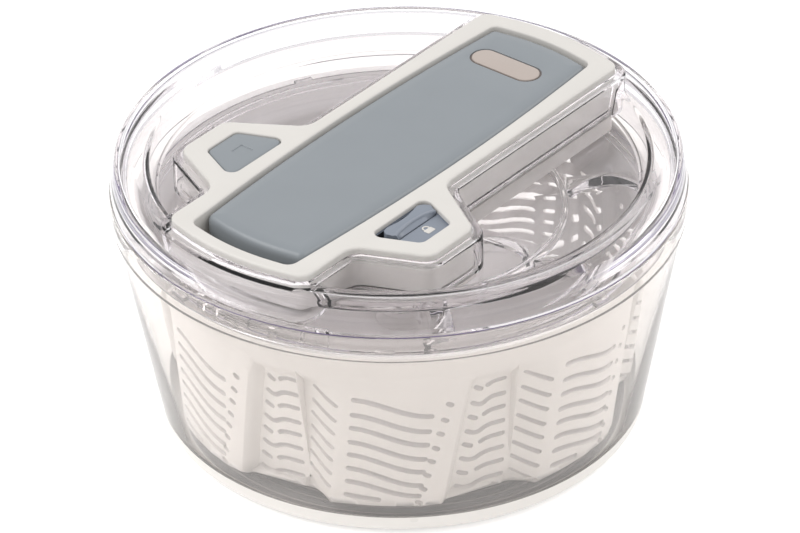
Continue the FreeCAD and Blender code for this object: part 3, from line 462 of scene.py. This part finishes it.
# The basket has seven lobes. Angles on it are degrees from a lobe's middle, over a seventh of a turn.
LOBES = 7
LOBE_TURN = 10.5
PERIOD = 360 / LOBES
SECTOR = (-21.0, PERIOD - 21.0)
STEP_WIDE = 2.2
FOOT_LEVEL, HEAD_LEVEL = 14.5, 85.0
FOOT_ROUND = 3.5
RECESS = 6.5
FADE_LEVEL, FADE_TALL = 75, 10
# Millimetres of arc in a degree, for the wall unrolled at its mean radius.
ARC_MM = 108 * math.pi / 180
SLOT_HALF = 1.4
SLOT_GAP = 0.55
SLOT_ROWS = (18.9, 26.6, 34.2, 41.9, 49.1, 57.1, 64.6, 73.1)
SLOT_SHARES = np.linspace(0, 1, 13)
BASKET_FLOOR, BASKET_WALL = 11, 1.5
RIM_LEVEL, RIM_REACH = 100.2, 117.2


def smooth_step(share):
    """An S curve from 0 to 1."""
    share = min(max(share, 0.0), 1.0)
    return share * share * (3 - 2 * share)


def lean(level, turn, swing, low, tall):
    """The angle of a leaning line at a level: turn at the level low, and swing more when tall above it."""
    return turn + swing * (level - low) / tall


def lobe_right(level):
    """Where a lobe's right edge is at a level."""
    return lean(level, 11.8, 5.7, 9, 64)


def lobe_left(level):
    """Where a lobe's left edge is at a level."""
    return lean(level, -13.4, 3.8, 11, 63)


def stand_out(turn, level):
    """How far the wall stands out, from 0 in a recess to 1 on a lobe; the recesses fade out near the rim."""
    left = lobe_left(level)
    if turn < left:
        share = smooth_step((turn - SECTOR[0]) / (left - SECTOR[0]))
    else:
        share = smooth_step(1 - (turn - lobe_right(level)) / STEP_WIDE)
    fade = smooth_step((level - FADE_LEVEL) / FADE_TALL)
    return share + (1 - share) * fade


def wall_reach(turn, level):
    """The radius of the basket's outside."""
    return 105.2 + 5.8 * (level - 10.5) / 73.5 - RECESS * (1 - stand_out(turn, level))


def basket_turns(level):
    """The angles of the wall's columns at a level, closer together at the lobe's steep side."""
    left, right = lobe_left(level), lobe_right(level)
    foot = right + STEP_WIDE
    marks = [(SECTOR[0], left, 8), (left, right, 22), (right, foot, 5), (foot, SECTOR[1], 12)]
    turns = []
    for start, end, count in marks:
        turns += [start + (end - start) * i / count for i in range(count)]
    return turns


def lobe_slot(row, level):
    """A slot on a lobe's face, which falls to the right; the lowest one is a short stub."""
    up = (level - SLOT_ROWS[0]) / 54.2
    drop = 9.0 if row > 1 else 7.3
    left, right = -10.3 + 2.9 * up, 6.3 + 3.6 * up
    if row == 0:
        return [(left + 7.5 * t, level - 1.6 * t) for t in SLOT_SHARES]
    return [(left + (right - left) * t, level - drop * smooth_step(t)) for t in SLOT_SHARES]


def dot_slot(level):
    """The short dot beside a lobe's slot."""
    dot = level - 3.4
    middle = lean(dot, 8.1, 6.4, 25, 47)
    return [(middle - 0.35, dot + 0.4), (middle + 0.35, dot - 0.4)]


def flank_slot(level):
    """A steep slot on a lobe's left flank."""
    flank = lobe_left(level)
    return [(flank - 7.6 + 5.6 * t, level + 1.6 - 6.4 * t) for t in SLOT_SHARES]


def recess_slot(level):
    """A slot in the recess between two lobes, which dips and then rises."""
    start = lobe_right(level) + STEP_WIDE + 1.6
    path = []
    for t in SLOT_SHARES:
        valley = -1.5 * math.sin(math.pi * min(t / 0.45, 1))
        rise = 1.6 * smooth_step((t - 0.3) / 0.4)
        path.append((start + (28.6 - start) * t, level - 1.0 + valley + rise))
    return path


def slot_lines():
    """The middle line of each slot in one sector, as (angle, level) points, with its half height."""
    lines = []
    for row, level in enumerate(SLOT_ROWS):
        lines.append((lobe_slot(row, level), SLOT_HALF))
        lines.append((dot_slot(level), SLOT_HALF * 0.92))
        lines.append((flank_slot(level), SLOT_HALF * 0.8))
        path = recess_slot(level)
        parts = [path[:3], path[5:]] if row % 2 else [path]
        lines += [(part, SLOT_HALF * 0.9) for part in parts]
    return lines


def slot_outline(line, half):
    """The outline of a slot with round ends, in unrolled millimetres."""
    spots = np.array([(turn * ARC_MM, level) for turn, level in line])
    along = np.gradient(spots, axis=0)
    along /= np.hypot(along[:, 0], along[:, 1])[:, None]
    aside = np.column_stack([-along[:, 1], along[:, 0]]) * half
    outline = list(spots - aside)
    for end, way in ((len(spots) - 1, 1), (0, -1)):
        for step in range(1, 6):
            a = math.pi * step / 6
            outline.append(spots[end] + way * (along[end] * half * math.sin(a) - aside[end] * math.cos(a)))
        if end:
            outline += list((spots + aside)[::-1])
    return outline


def stays_clear(spot, lines):
    """Whether a point of the unrolled wall keeps its distance from every slot."""
    for line, half in lines:
        middle = np.array(line) * (ARC_MM, 1)
        if np.min(np.hypot(*(middle - spot).T)) < half + SLOT_GAP:
            return False
    return True


def wall_sector():
    """Points (angle, level) and triangles of one sector of the wall, with its slots left out."""
    lines = slot_lines()
    points = []
    levels = np.linspace(FOOT_LEVEL, HEAD_LEVEL, 27)
    for index, level in enumerate(levels):
        edge = index in (0, len(levels) - 1)
        for turn in basket_turns(level) + [SECTOR[1]]:
            spot = np.array([turn * ARC_MM, level])
            if edge or turn in SECTOR or stays_clear(spot, lines):
                points.append(Vector(spot))
    holes = []
    for line, half in lines:
        outline = slot_outline(line, half)
        first = len(points)
        points += [Vector(p) for p in outline]
        holes.append(list(range(first, first + len(outline))))
    places, _, faces, _, _, sources = delaunay_2d_cdt(points, [], holes, 0, 1e-5, True)
    kept = [face for face, source in zip(faces, sources) if not source]
    return [(p.x / ARC_MM, p.y) for p in places], kept


def round_place(reach, turn, lobe):
    """A place in plan, from a radius and an angle in the sector of one lobe."""
    angle = math.radians(turn + LOBE_TURN + PERIOD * lobe)
    return reach * math.cos(angle), reach * math.sin(angle)


def basket_rings(shape, level, places_of):
    """Bands all round whose columns are those of the wall at a level; each entry gives (radius, level)."""
    turns = basket_turns(level)
    rings = []
    for place_of in places_of:
        outline, heights = [], []
        for lobe in range(LOBES):
            for turn in turns:
                reach, height = place_of(turn)
                outline.append(round_place(reach, turn, lobe))
                heights.append(height)
        rings.append(shape.ring(outline, heights))
    for low, high in zip(rings, rings[1:]):
        shape.join(low, high)


def flat_ring(reach, height):
    return lambda turn: (reach, height)


def foot_ring(a):
    """The rounding between floor and wall, at an angle of it."""
    inset, drop = FOOT_ROUND * (1 - math.sin(a)), FOOT_ROUND * math.cos(a)
    return lambda turn: (wall_reach(turn, FOOT_LEVEL) - inset, FOOT_LEVEL - drop)


def flare_ring(share):
    """The part that opens from the wall to the rim."""
    level = HEAD_LEVEL + (RIM_LEVEL - HEAD_LEVEL) * share
    return lambda turn: (wall_reach(turn, HEAD_LEVEL) * (1 - share) + RIM_REACH * share, level)


def basket():
    """A floor, a round foot, the slotted wall and a rim, as one sheet with a thickness."""
    shape = Shape()
    places, triangles = wall_sector()
    for lobe in range(LOBES):
        first = len(shape.points)
        for turn, level in places:
            shape.points.append((*round_place(wall_reach(turn, level), turn, lobe), level))
        shape.faces += [tuple(first + v for v in face) for face in triangles]
    floor = [flat_ring(r, BASKET_FLOOR) for r in (12, 30, 50, 70, 82, 88, 92)]
    basket_rings(shape, FOOT_LEVEL, floor + [foot_ring(math.pi / 12 * i) for i in range(7)])
    rim = [flat_ring(r, z) for r, z in ((117.5, 101.0), (118.4, 101.7), (120, 101.9), (121.3, 101.9))]
    basket_rings(shape, HEAD_LEVEL, [flare_ring(i / 5) for i in range(6)] + rim)
    item = shape.build("basket", 180)
    thicken(item, BASKET_WALL)
    hub = lathe("basket_hub", [
        (5.65, 11, 0.2), (13.5, 11, 0.6), (13, 14.2, 1.5),
        (10, 20, 0.8), (8.5, 20.4, 0.5), (5.65, 20.4, 0.3),
    ], 64)
    item = merge([item, hub], "basket")
    finish_piece(item, "basket", BASKET_WHITE, "basket")


# ------------------------------------------------------------------ lid

def lid_shell():
    """The clear lid: a turned shell with an opening for the housing, a collar round it and small lugs."""
    item = lathe("lid_shell", [
        (0, 116, 0), (110, 116, 2), (113.7, 129.2, 3), (121, 132.4, 4), (124.8, 129.6, 2),
        (123, 118.5, 2), (123, 106, 0.8), (125.5, 106, 0.8), (125.5, 117.8, 0.3), (129.3, 117.8, 0.8),
        (129.3, 120.2, 1.0), (127.1, 132, 3), (121, 134.8, 7), (111.5, 130.8, 3),
        (108.5, 118.5, 2), (0, 118.5, 0),
    ])
    item = combine(item, bridge_hole(), "DIFFERENCE")
    item = combine(item, lid_collar(), "UNION")
    for lug in SKIRT_LUGS:
        item = combine(item, skirt_lug(*lug), "UNION")
    finish_piece(item, "lid", CLEAR, "lid_shell")


def bridge_hole():
    """What is cut from the lid for the housing."""
    gap, below, above = 0.42, 110, 145
    shape = Shape()
    low, high = shape.wall(bridge_outline(), [(gap, below), (gap, above)])
    shape.cap(low)
    shape.cap(high)
    return shape.build("hole")


def lid_collar():
    """The clear wall round the housing, rounded over at its top."""
    shape = Shape()
    inner, middle, outer = 0.45, 2.6, 4.95
    foot, under = 116.02, 132.6
    outside = [(middle, foot), (outer, foot), (outer, 133.2)] + quarter(outer, 133.2, 3.1, 135.1)
    top = [(1.2, 135.15)] + quarter(1.2, 135.15, inner, 134.4, outward=True)
    shape.wall(bridge_outline(), outside + top + [(inner, under), (middle, under), (middle, foot)])
    return shape.build("collar")


# The lugs inside the lid's skirt: angle, width in degrees, lower and upper level.
SKIRT_LUGS = (
    (175.3, 1.6, 108, 115), (179, 1, 108, 115), (184.7, 5.5, 108.5, 114.5),
    (193.1, 1.6, 107.5, 112), (196.5, 5.5, 108.5, 114.5), (202.5, 5, 107.5, 116),
)


def skirt_lug(turn, wide, low, high):
    """A small block on the inside of the lid's skirt, with its width in degrees."""
    inner, outer = 121.4, 124.0
    arc = [math.radians(turn + wide * (i / 4 - 0.5)) for i in range(5)]
    outline = [(outer * math.cos(a), outer * math.sin(a)) for a in arc]
    outline += [(inner * math.cos(a), inner * math.sin(a)) for a in reversed(arc)]
    shape = Shape()
    foot, head = shape.ring(outline, low), shape.ring(outline, high)
    shape.join(foot, head)
    shape.cap(foot)
    shape.cap(head)
    return shape.build("lug")


def rim_line():
    """The dark line of shadow where the lid sits on the bowl."""
    section = ((127.8, 117.58), (129.1, 117.58), (129.1, 117.76), (127.8, 117.76))
    item = lathe("rim_line", [(reach, level, 0.05) for reach, level in section], steps=1)
    finish_piece(item, "lid", RIM_LINE)


def band(shape, line, half, low, high):
    """A strip that stands on end along a line in plan."""
    spots = np.array(line)
    along = np.gradient(spots, axis=0)
    along /= np.hypot(along[:, 0], along[:, 1])[:, None]
    aside = np.column_stack([-along[:, 1], along[:, 0]]) * half
    outline = list(spots - aside) + list((spots + aside)[::-1])
    foot, head = shape.ring(outline, low), shape.ring(outline, high)
    shape.join(foot, head)
    shape.cap(foot)
    shape.cap(head)


def disc_ribs():
    """The curved ribs under the driver disc, and the lugs that turn the basket."""
    ribs = Shape()
    for spoke in range(8):
        middle = -45 + 45 * spoke
        for bulge in (7.0, 1.5):
            for start, end in ((45, 72), (77, 110)):
                line = []
                for share in np.linspace(0, 1, 17):
                    turn = math.radians(middle + bulge * math.sin(math.pi * share))
                    reach = start + (end - start) * share
                    line.append((reach * math.cos(turn), reach * math.sin(turn)))
                band(ribs, line, half=0.9, low=98.5, high=101.7)
    for lobe in range(LOBES):
        line = [round_place(reach, 0, lobe) for reach in (114, 116, 117.5)]
        band(ribs, line, half=4.2, low=101.55, high=103.3)
    return ribs.build("ribs")


def driver_disc():
    """The ribbed disc: a cup in the middle, a ring rib, and pairs of curved ribs shaped like lenses."""
    item = lathe("driver_disc", [
        (3.05, 95, 0.2), (17.5, 95, 0.8), (17.5, 101.5, 0.4), (73.5, 101.5, 0.3), (73.5, 98.5, 0.3),
        (75.5, 98.5, 0.3), (75.5, 101.5, 0.3), (110.6, 101.5, 0.2), (110.6, 98.5, 0.3), (112.6, 98.5, 0.3),
        (112.6, 101.5, 0.2), (115, 101.5, 0.5), (115, 103.5, 0.5), (15, 103.5, 0.4), (15, 97, 0.4),
        (3.05, 97, 0.2),
    ], 192, 3)
    item = combine(item, disc_ribs(), "UNION")
    finish_piece(item, "driver", CLEAR, "driver_disc")


# Levels of the housing: its foot, its top face and the underside of that, and the lever's well.
FRAME_FOOT, FRAME_TOP, FRAME_UNDER = 118.95, 137.9, 135.6
WELL_FLOOR, WELL_UNDER = 121.5, 119.5


def frame_post(x, y):
    """A screw post under the housing's top."""
    inner, outer, low, high = 1.55, 3, 116, 136
    corners = [(inner, low, 0.2), (outer, low, 0.2), (outer, high, 0.2), (inner, high, 0.2)]
    post = lathe("post", corners, 32, 2)
    post.data.transform(Matrix.Translation((x * MM, y * MM, 0)))
    return post


def top_frame():
    """The housing: a thin moulding with the lever's well, two windows, the crank's slot and five posts."""
    outline = bridge_outline()
    well = lever_outline(8.3, 0.9)
    shape = Shape()
    low, shoulder = shape.wall(outline, [(0, FRAME_FOOT), (0, 136.6)] + quarter(0, 136.6, -1.3, FRAME_TOP, 6))
    well_edge = quarter(1.7, FRAME_TOP, 0.7, 136.9, 4, True)
    well_rim, well_low = shape.wall(well, well_edge + [(0.7, WELL_FLOOR)])
    windows = []
    for side in (1, -1):
        edge = quarter(0.8, FRAME_TOP, 0, 137.1, 4, True) + [(0, FRAME_UNDER)]
        windows.append(shape.wall(window_outline(side), edge))
    shape.plate([shoulder, well_rim] + [w[0] for w in windows])
    inner_low, inner_top = shape.wall(outline, [(-2, FRAME_FOOT), (-2, FRAME_UNDER)])
    shape.join(low, inner_low)
    well_out_top, well_out_low = shape.wall(well, [(2.3, FRAME_UNDER), (2.3, WELL_UNDER)])
    shape.plate([inner_top, well_out_top] + [w[1] for w in windows])
    crank_slot = [(85, 10.5, 1), (107, 10.5, 1), (107, 26.3, 1), (85, 26.3, 1)]
    slot_top, slot_low = shape.wall(crank_slot, [(0, WELL_FLOOR), (0, WELL_UNDER)])
    shape.plate([well_low, slot_top])
    shape.plate([well_out_low, slot_low])
    item = shape.build("top_frame", 40)
    places = ((-90, 34), (-90, -34), (-25, 42.6), (-25, -42.6), (112.6, 0))
    item = merge([item] + [frame_post(x, y) for x, y in places], "top_frame")
    finish_piece(item, "lid", FRAME_WHITE, "top_frame")


# ------------------------------------------------------------------ lever

LEVER_FOOT, LEVER_FACE, LEVER_UNDER = 127.55, 137.45, 135.5
BADGE_PLACE = (80, 2)
BADGE_RECESS = 136.75


def lever_cover():
    """The lever: a hollow cover with soft edges and a recess for the badge, the recess's floor painted dark
    as shade in the gap round the badge.
    """
    outline = lever_outline()
    shape = Shape()
    edge = [
        (0, LEVER_FOOT), (0, 133.6), (-0.25, 134.9), (-0.8, 136.0),
        (-1.7, 136.8), (-2.6, 137.25), (-7, LEVER_FACE),
    ]
    low, top = shape.wall(outline, edge, 12)
    recess = pill_outline(*BADGE_PLACE, 14.6, 38)
    rim, foot = shape.wall(recess, quarter(0.3, LEVER_FACE, -0.1, 137.1, 3, True) + [(-0.1, BADGE_RECESS)])
    shape.plate([top, rim])
    shape.cap(foot)
    inner_low, inner_top = shape.wall(outline, [(-2, LEVER_FOOT), (-2, LEVER_UNDER)], 12)
    shape.join(low, inner_low)
    shape.cap(inner_top)
    item = shape.build("lever_cover", 25)
    item.data.materials.append(LEVER_GREY)
    item.data.materials.append(BADGE_GAP_SHADE)
    # The recess's floor gets the dark material: painted shade in the gap round the badge.
    for face in item.data.polygons:
        if len(face.vertices) > 8 and abs(face.center.z - BADGE_RECESS * MM) < 0.1 * MM:
            face.material_index = 1
    finish_piece(item, "lever", LEVER_GREY, "lever_cover")


def lever_badge():
    """The plain badge in the lever's recess."""
    outline = pill_outline(*BADGE_PLACE, 12.4, 36)
    shape = Shape()
    low, top = shape.wall(outline, [(0, 136.8), (0, 137.2)] + quarter(0, 137.2, -0.7, 137.65, 4))
    shape.cap(low)
    shape.cap(top)
    item = shape.build("lever_badge")
    finish_piece(item, "lever", BADGE_BEIGE, "lever_badge")


# ------------------------------------------------------------------ buttons

def stop_button():
    """The stop button: a hollow cap with a sunk square sign, and the stem that carries the brake pad."""
    outline = window_outline(1)
    shape = Shape()
    gap, foot_level, edge_level, face_level = -0.45, 128.05, 136.4, 137.35
    side = [(gap, foot_level), (gap, edge_level)]
    low, top = shape.wall(outline, side + quarter(gap, edge_level, -1.5, face_level, 5))
    sign = box_outline(-49, 49.5, 7, 7, 0.8)
    rim, foot = shape.wall(sign, [(0.25, face_level), (0, 137.1), (0, 136.95)])
    shape.plate([top, rim])
    shape.cap(foot)
    inner_low, inner_top = shape.wall(outline, [(-2, foot_level), (-2, 134.9)])
    shape.join(low, inner_low)
    shape.cap(inner_top)
    item = shape.build("stop_button", 40)
    stem = lathe("stem", [(0, 109.8, 0), (3, 109.8, 0.3), (3, 135, 0.3), (0, 135, 0)], 48, 3)
    stem.data.transform(Matrix.Translation((-49.2 * MM, 50 * MM, 0)))
    item = merge([item, stem], "stop_button")
    finish_piece(item, "stop", LEVER_GREY, "stop_button")


# Levels of the lock's tray: its shelf, and the floor of the channel that the slider runs in.
SHELF_LEVEL, CHANNEL_FLOOR = 135, 131.2


def lock_plate():
    """The tray in the lock's window: a channel for the slider, painted dark as shade inside it, and a shelf
    with a padlock sign.
    """
    outline = window_outline(-1)
    shape = Shape()
    foot_level, lip_level, overlap = 129.65, 135.55, 1.1
    low, high = shape.wall(outline, [(overlap, foot_level), (overlap, lip_level)])
    lip = shape.ring(rounded(outline, -0.1), lip_level)
    shelf = shape.ring(rounded(outline, -0.12), SHELF_LEVEL)
    shape.join(high, lip)
    shape.join(lip, shelf)
    corners = ((True, 0.6, 40.0), (False, -0.6, 40.0), (False, -0.6, 50.2), (True, 0.6, 50.2))
    channel = [(window_side(near, across) + gap, -across, 1) for near, gap, across in corners]
    rim, foot = shape.wall(channel, [(0, SHELF_LEVEL), (0, CHANNEL_FLOOR)], 3)
    shape.plate([shelf, rim])
    shape.cap(foot)
    shape.cap(low)
    item = shape.build("lock_plate", 40)
    item.data.materials.append(LOCK_GREY)
    item.data.materials.append(DARK_PLASTIC_AND_SHADE)
    # The faces inside the channel get the dark material: painted shade where the channel lies in shadow.
    for face in item.data.polygons:
        inside = face.center.z < 134.9 * MM and face.center.z > 130.5 * MM
        if inside and abs(face.center.x + 49.2 * MM) < 18.6 * MM and face.center.y > -50.5 * MM:
            face.material_index = 1
    finish_piece(item, "lid", LOCK_GREY, "lock_plate")
    lock_sign()


def lock_sign():
    """A small raised padlock on the tray's shelf."""
    sign = Shape()
    x, y = -46.2, -55.2
    low_level, top_level, half = 134.95, 135.25, 1.5
    block = box_outline(x, y - 0.35, 4.8, 3.1, 0.4)
    low, high = sign.wall(block, [(0, low_level), (0, 135.15), (-0.15, top_level)], 3)
    sign.cap(low)
    sign.cap(high)
    arc = np.linspace(0, math.pi, 13)
    bow = [(x + half * math.cos(a), y + 1.6 + 1.6 * math.sin(a)) for a in arc]
    line = [(x + half, y + 1.1)] + bow + [(x - half, y + 1.1)]
    band(sign, line, 0.35, low_level, top_level)
    finish_piece(sign.build("lock_sign"), "lid", FRAME_WHITE)


def slider_along(share, y):
    """Where along X a share of the thumb piece is, from -1 at its near end to 1 at its far one."""
    near = window_side(True, -y) + 4.1
    far = window_side(False, -y) - 0.8
    return (near + far) / 2 + (far - near) / 2 * share


def slider_profile(share):
    """One cut through the thumb piece, as (y, level) points."""
    middle, hollow_radius, hollow_centre = -48.6, 30.8, -11.5
    x = slider_along(share, -45)
    inner = min(-40.2, hollow_centre - math.sqrt(hollow_radius ** 2 - (x - middle) ** 2))
    inner -= 4.5 * max(0, 1 - 13 * (1 - abs(share)) / 6) ** 2
    ridge = -46.3 - 2.2 * ((x - middle) / 14.5) ** 2
    foot, face = 131.5, 137.1
    return [
        (inner, foot), (inner, 136.7), (inner - 0.15, 137.0), (inner - 0.5, face),
        (ridge + 1.4, 136.75), (ridge + 0.7, 136.8), (ridge + 0.2, 137.05), (ridge - 0.3, face),
        (ridge - 0.7, 136.8), (ridge - 0.9, 136.2), (-49.5, 135.2), (-49.6, 134.8), (-49.6, foot),
    ]


def lock_slider():
    """The thumb piece: hollowed towards the lever, with a bowed ridge, a slope to the shelf and a tongue."""
    shape = Shape()
    rings = []
    for share in np.linspace(-1, 1, 33):
        profile = slider_profile(share)
        first = len(shape.points)
        shape.points += [(slider_along(share, y), y, z) for y, z in profile]
        rings.append(list(range(first, first + len(profile))))
    for a, b in zip(rings, rings[1:]):
        shape.join(a, b)
    shape.cap(rings[0])
    shape.cap(rings[-1])
    item = shape.build("lock_slider", 30)
    tongue = Shape()
    low, high = tongue.wall(box_outline(-49.2, -37.45, 8, 11.1, 0.4), [(0, 131.5), (0, 133.5)], 3)
    tongue.cap(low)
    tongue.cap(high)
    item = merge([item, tongue.build("tongue")], "lock_slider")
    finish_piece(item, "lock", LOCK_GREY, "lock_slider")


# Every piece that is remodelled, in the order of its making.
MAKERS = (
    bowl_shell, grip_ring, basket, lid_shell, rim_line, driver_disc, top_frame,
    lever_cover, lever_badge, stop_button, lock_plate, lock_slider,
)
for make in MAKERS:
    make()

# The hidden pieces that come over from the CAD as they are.
CARRIED = {
    "pivot_pin": STEEL, "hinge_pin": STEEL, "centre_axle": STEEL, "first_axle": STEEL, "second_axle": STEEL,
    "crank_pin": STEEL, "case_screws": ZINC, "stop_spring": ZINC, "return_spring": ZINC,
    "clutch_rollers": ZINC, "axle_circlip": BLUED, "pivot_bush": GEAR_WHITE, "drive_rack": GEAR_WHITE,
    "first_gear": GEAR_WHITE, "second_gear": GEAR_WHITE, "clutch_hub": GEAR_WHITE,
    "gear_case": FRAME_WHITE, "lever_frame": DARK_PLASTIC_AND_SHADE, "brake_pad": RUBBER,
}
for node, material in CARRIED.items():
    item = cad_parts[node]
    for place in item.material_slots:
        place.material = material


# ------------------------------------------------------------------ camera, floor and light

def look_from(place, target, roll):
    """The turn of something that looks from one place to another, rolled about that line."""
    back = (place - target).normalized()
    turn = back.to_track_quat("Z", "Y").to_matrix()
    return turn @ Matrix.Rotation(roll, 3, "Z")


def camera():
    """A long lens, well away from the part and a little above its lid."""
    azimuth, elevation, roll = math.radians(-50.06), math.radians(33.27), math.radians(-1.23)
    distance = 2.4109
    right = Vector((math.cos(azimuth), math.sin(azimuth), 0))
    target = right * -0.0003 + Vector((0, 0, 0.0699))
    level = math.cos(elevation)
    back = Vector((math.sin(azimuth) * level, -math.cos(azimuth) * level, math.sin(elevation)))
    data = bpy.data.cameras.new("camera")
    data.sensor_width = 36
    data.lens = 239.5
    data.clip_end = 20
    item = bpy.data.objects.new("camera", data)
    bpy.context.scene.collection.objects.link(item)
    place = target + back * distance
    item.matrix_world = Matrix.Translation(place) @ look_from(place, target, roll).to_4x4()
    bpy.context.scene.camera = item


def area_light(name, place, size, power):
    """A soft white lamp that points at the middle of the part."""
    data = bpy.data.lights.new(name, "AREA")
    data.shape = "RECTANGLE"
    data.size, data.size_y = size
    data.energy = power
    item = bpy.data.objects.new(name, data)
    place, target = Vector(place), Vector((0, 0, 0.08))
    item.matrix_world = Matrix.Translation(place) @ look_from(place, target, 0).to_4x4()
    bpy.context.scene.collection.objects.link(item)


def studio_floor():
    """Pale paper that glows a little, so that it stays near white."""
    reach = 6000
    corners = [(x * reach, y * reach, -0.2) for x, y in ((-1, -1), (1, -1), (1, 1), (-1, 1))]
    floor = make_mesh("floor", corners, [(0, 1, 2, 3)])
    white = (0.94, 0.94, 0.94)
    paper = plastic("floor_paper", white, rough=0.7, spread=0.02, grain=0.02, scale=40, tint=0.004)
    shader = paper.node_tree.nodes["Principled BSDF"]
    shader.inputs["Emission Color"].default_value = (1, 1, 1, 1)
    shader.inputs["Emission Strength"].default_value = 0.3
    floor.data.materials.append(paper)


def studio_sky():
    """An even sky, slightly lavender at the horizon."""
    world = bpy.data.worlds.new("studio")
    bpy.context.scene.world = world
    world.use_nodes = True
    tree = world.node_tree
    place = tree.nodes.new("ShaderNodeTexCoord")
    split = tree.nodes.new("ShaderNodeSeparateXYZ")
    ramp = tree.nodes.new("ShaderNodeValToRGB")
    ramp.color_ramp.elements[0].position = 0.0
    ramp.color_ramp.elements[0].color = (0.93, 0.92, 0.94, 1)
    ramp.color_ramp.elements[1].position = 0.35
    ramp.color_ramp.elements[1].color = (1, 1, 1, 1)
    link = tree.links.new
    link(place.outputs["Generated"], split.inputs["Vector"])
    link(split.outputs["Z"], ramp.inputs["Fac"])
    link(ramp.outputs["Color"], tree.nodes["Background"].inputs["Color"])
    tree.nodes["Background"].inputs["Strength"].default_value = 0.95


camera()
studio_floor()
studio_sky()
area_light("key", (-0.9, 0.9, 1.6), size=(1.2, 1.2), power=14)
area_light("fill", (1.3, -0.9, 1.1), size=(0.7, 1.4), power=7)
scene = bpy.context.scene
scene.view_settings.view_transform = "Standard"
scene.cycles.max_bounces = 24
scene.cycles.transmission_bounces = 20
scene.cycles.transparent_max_bounces = 24
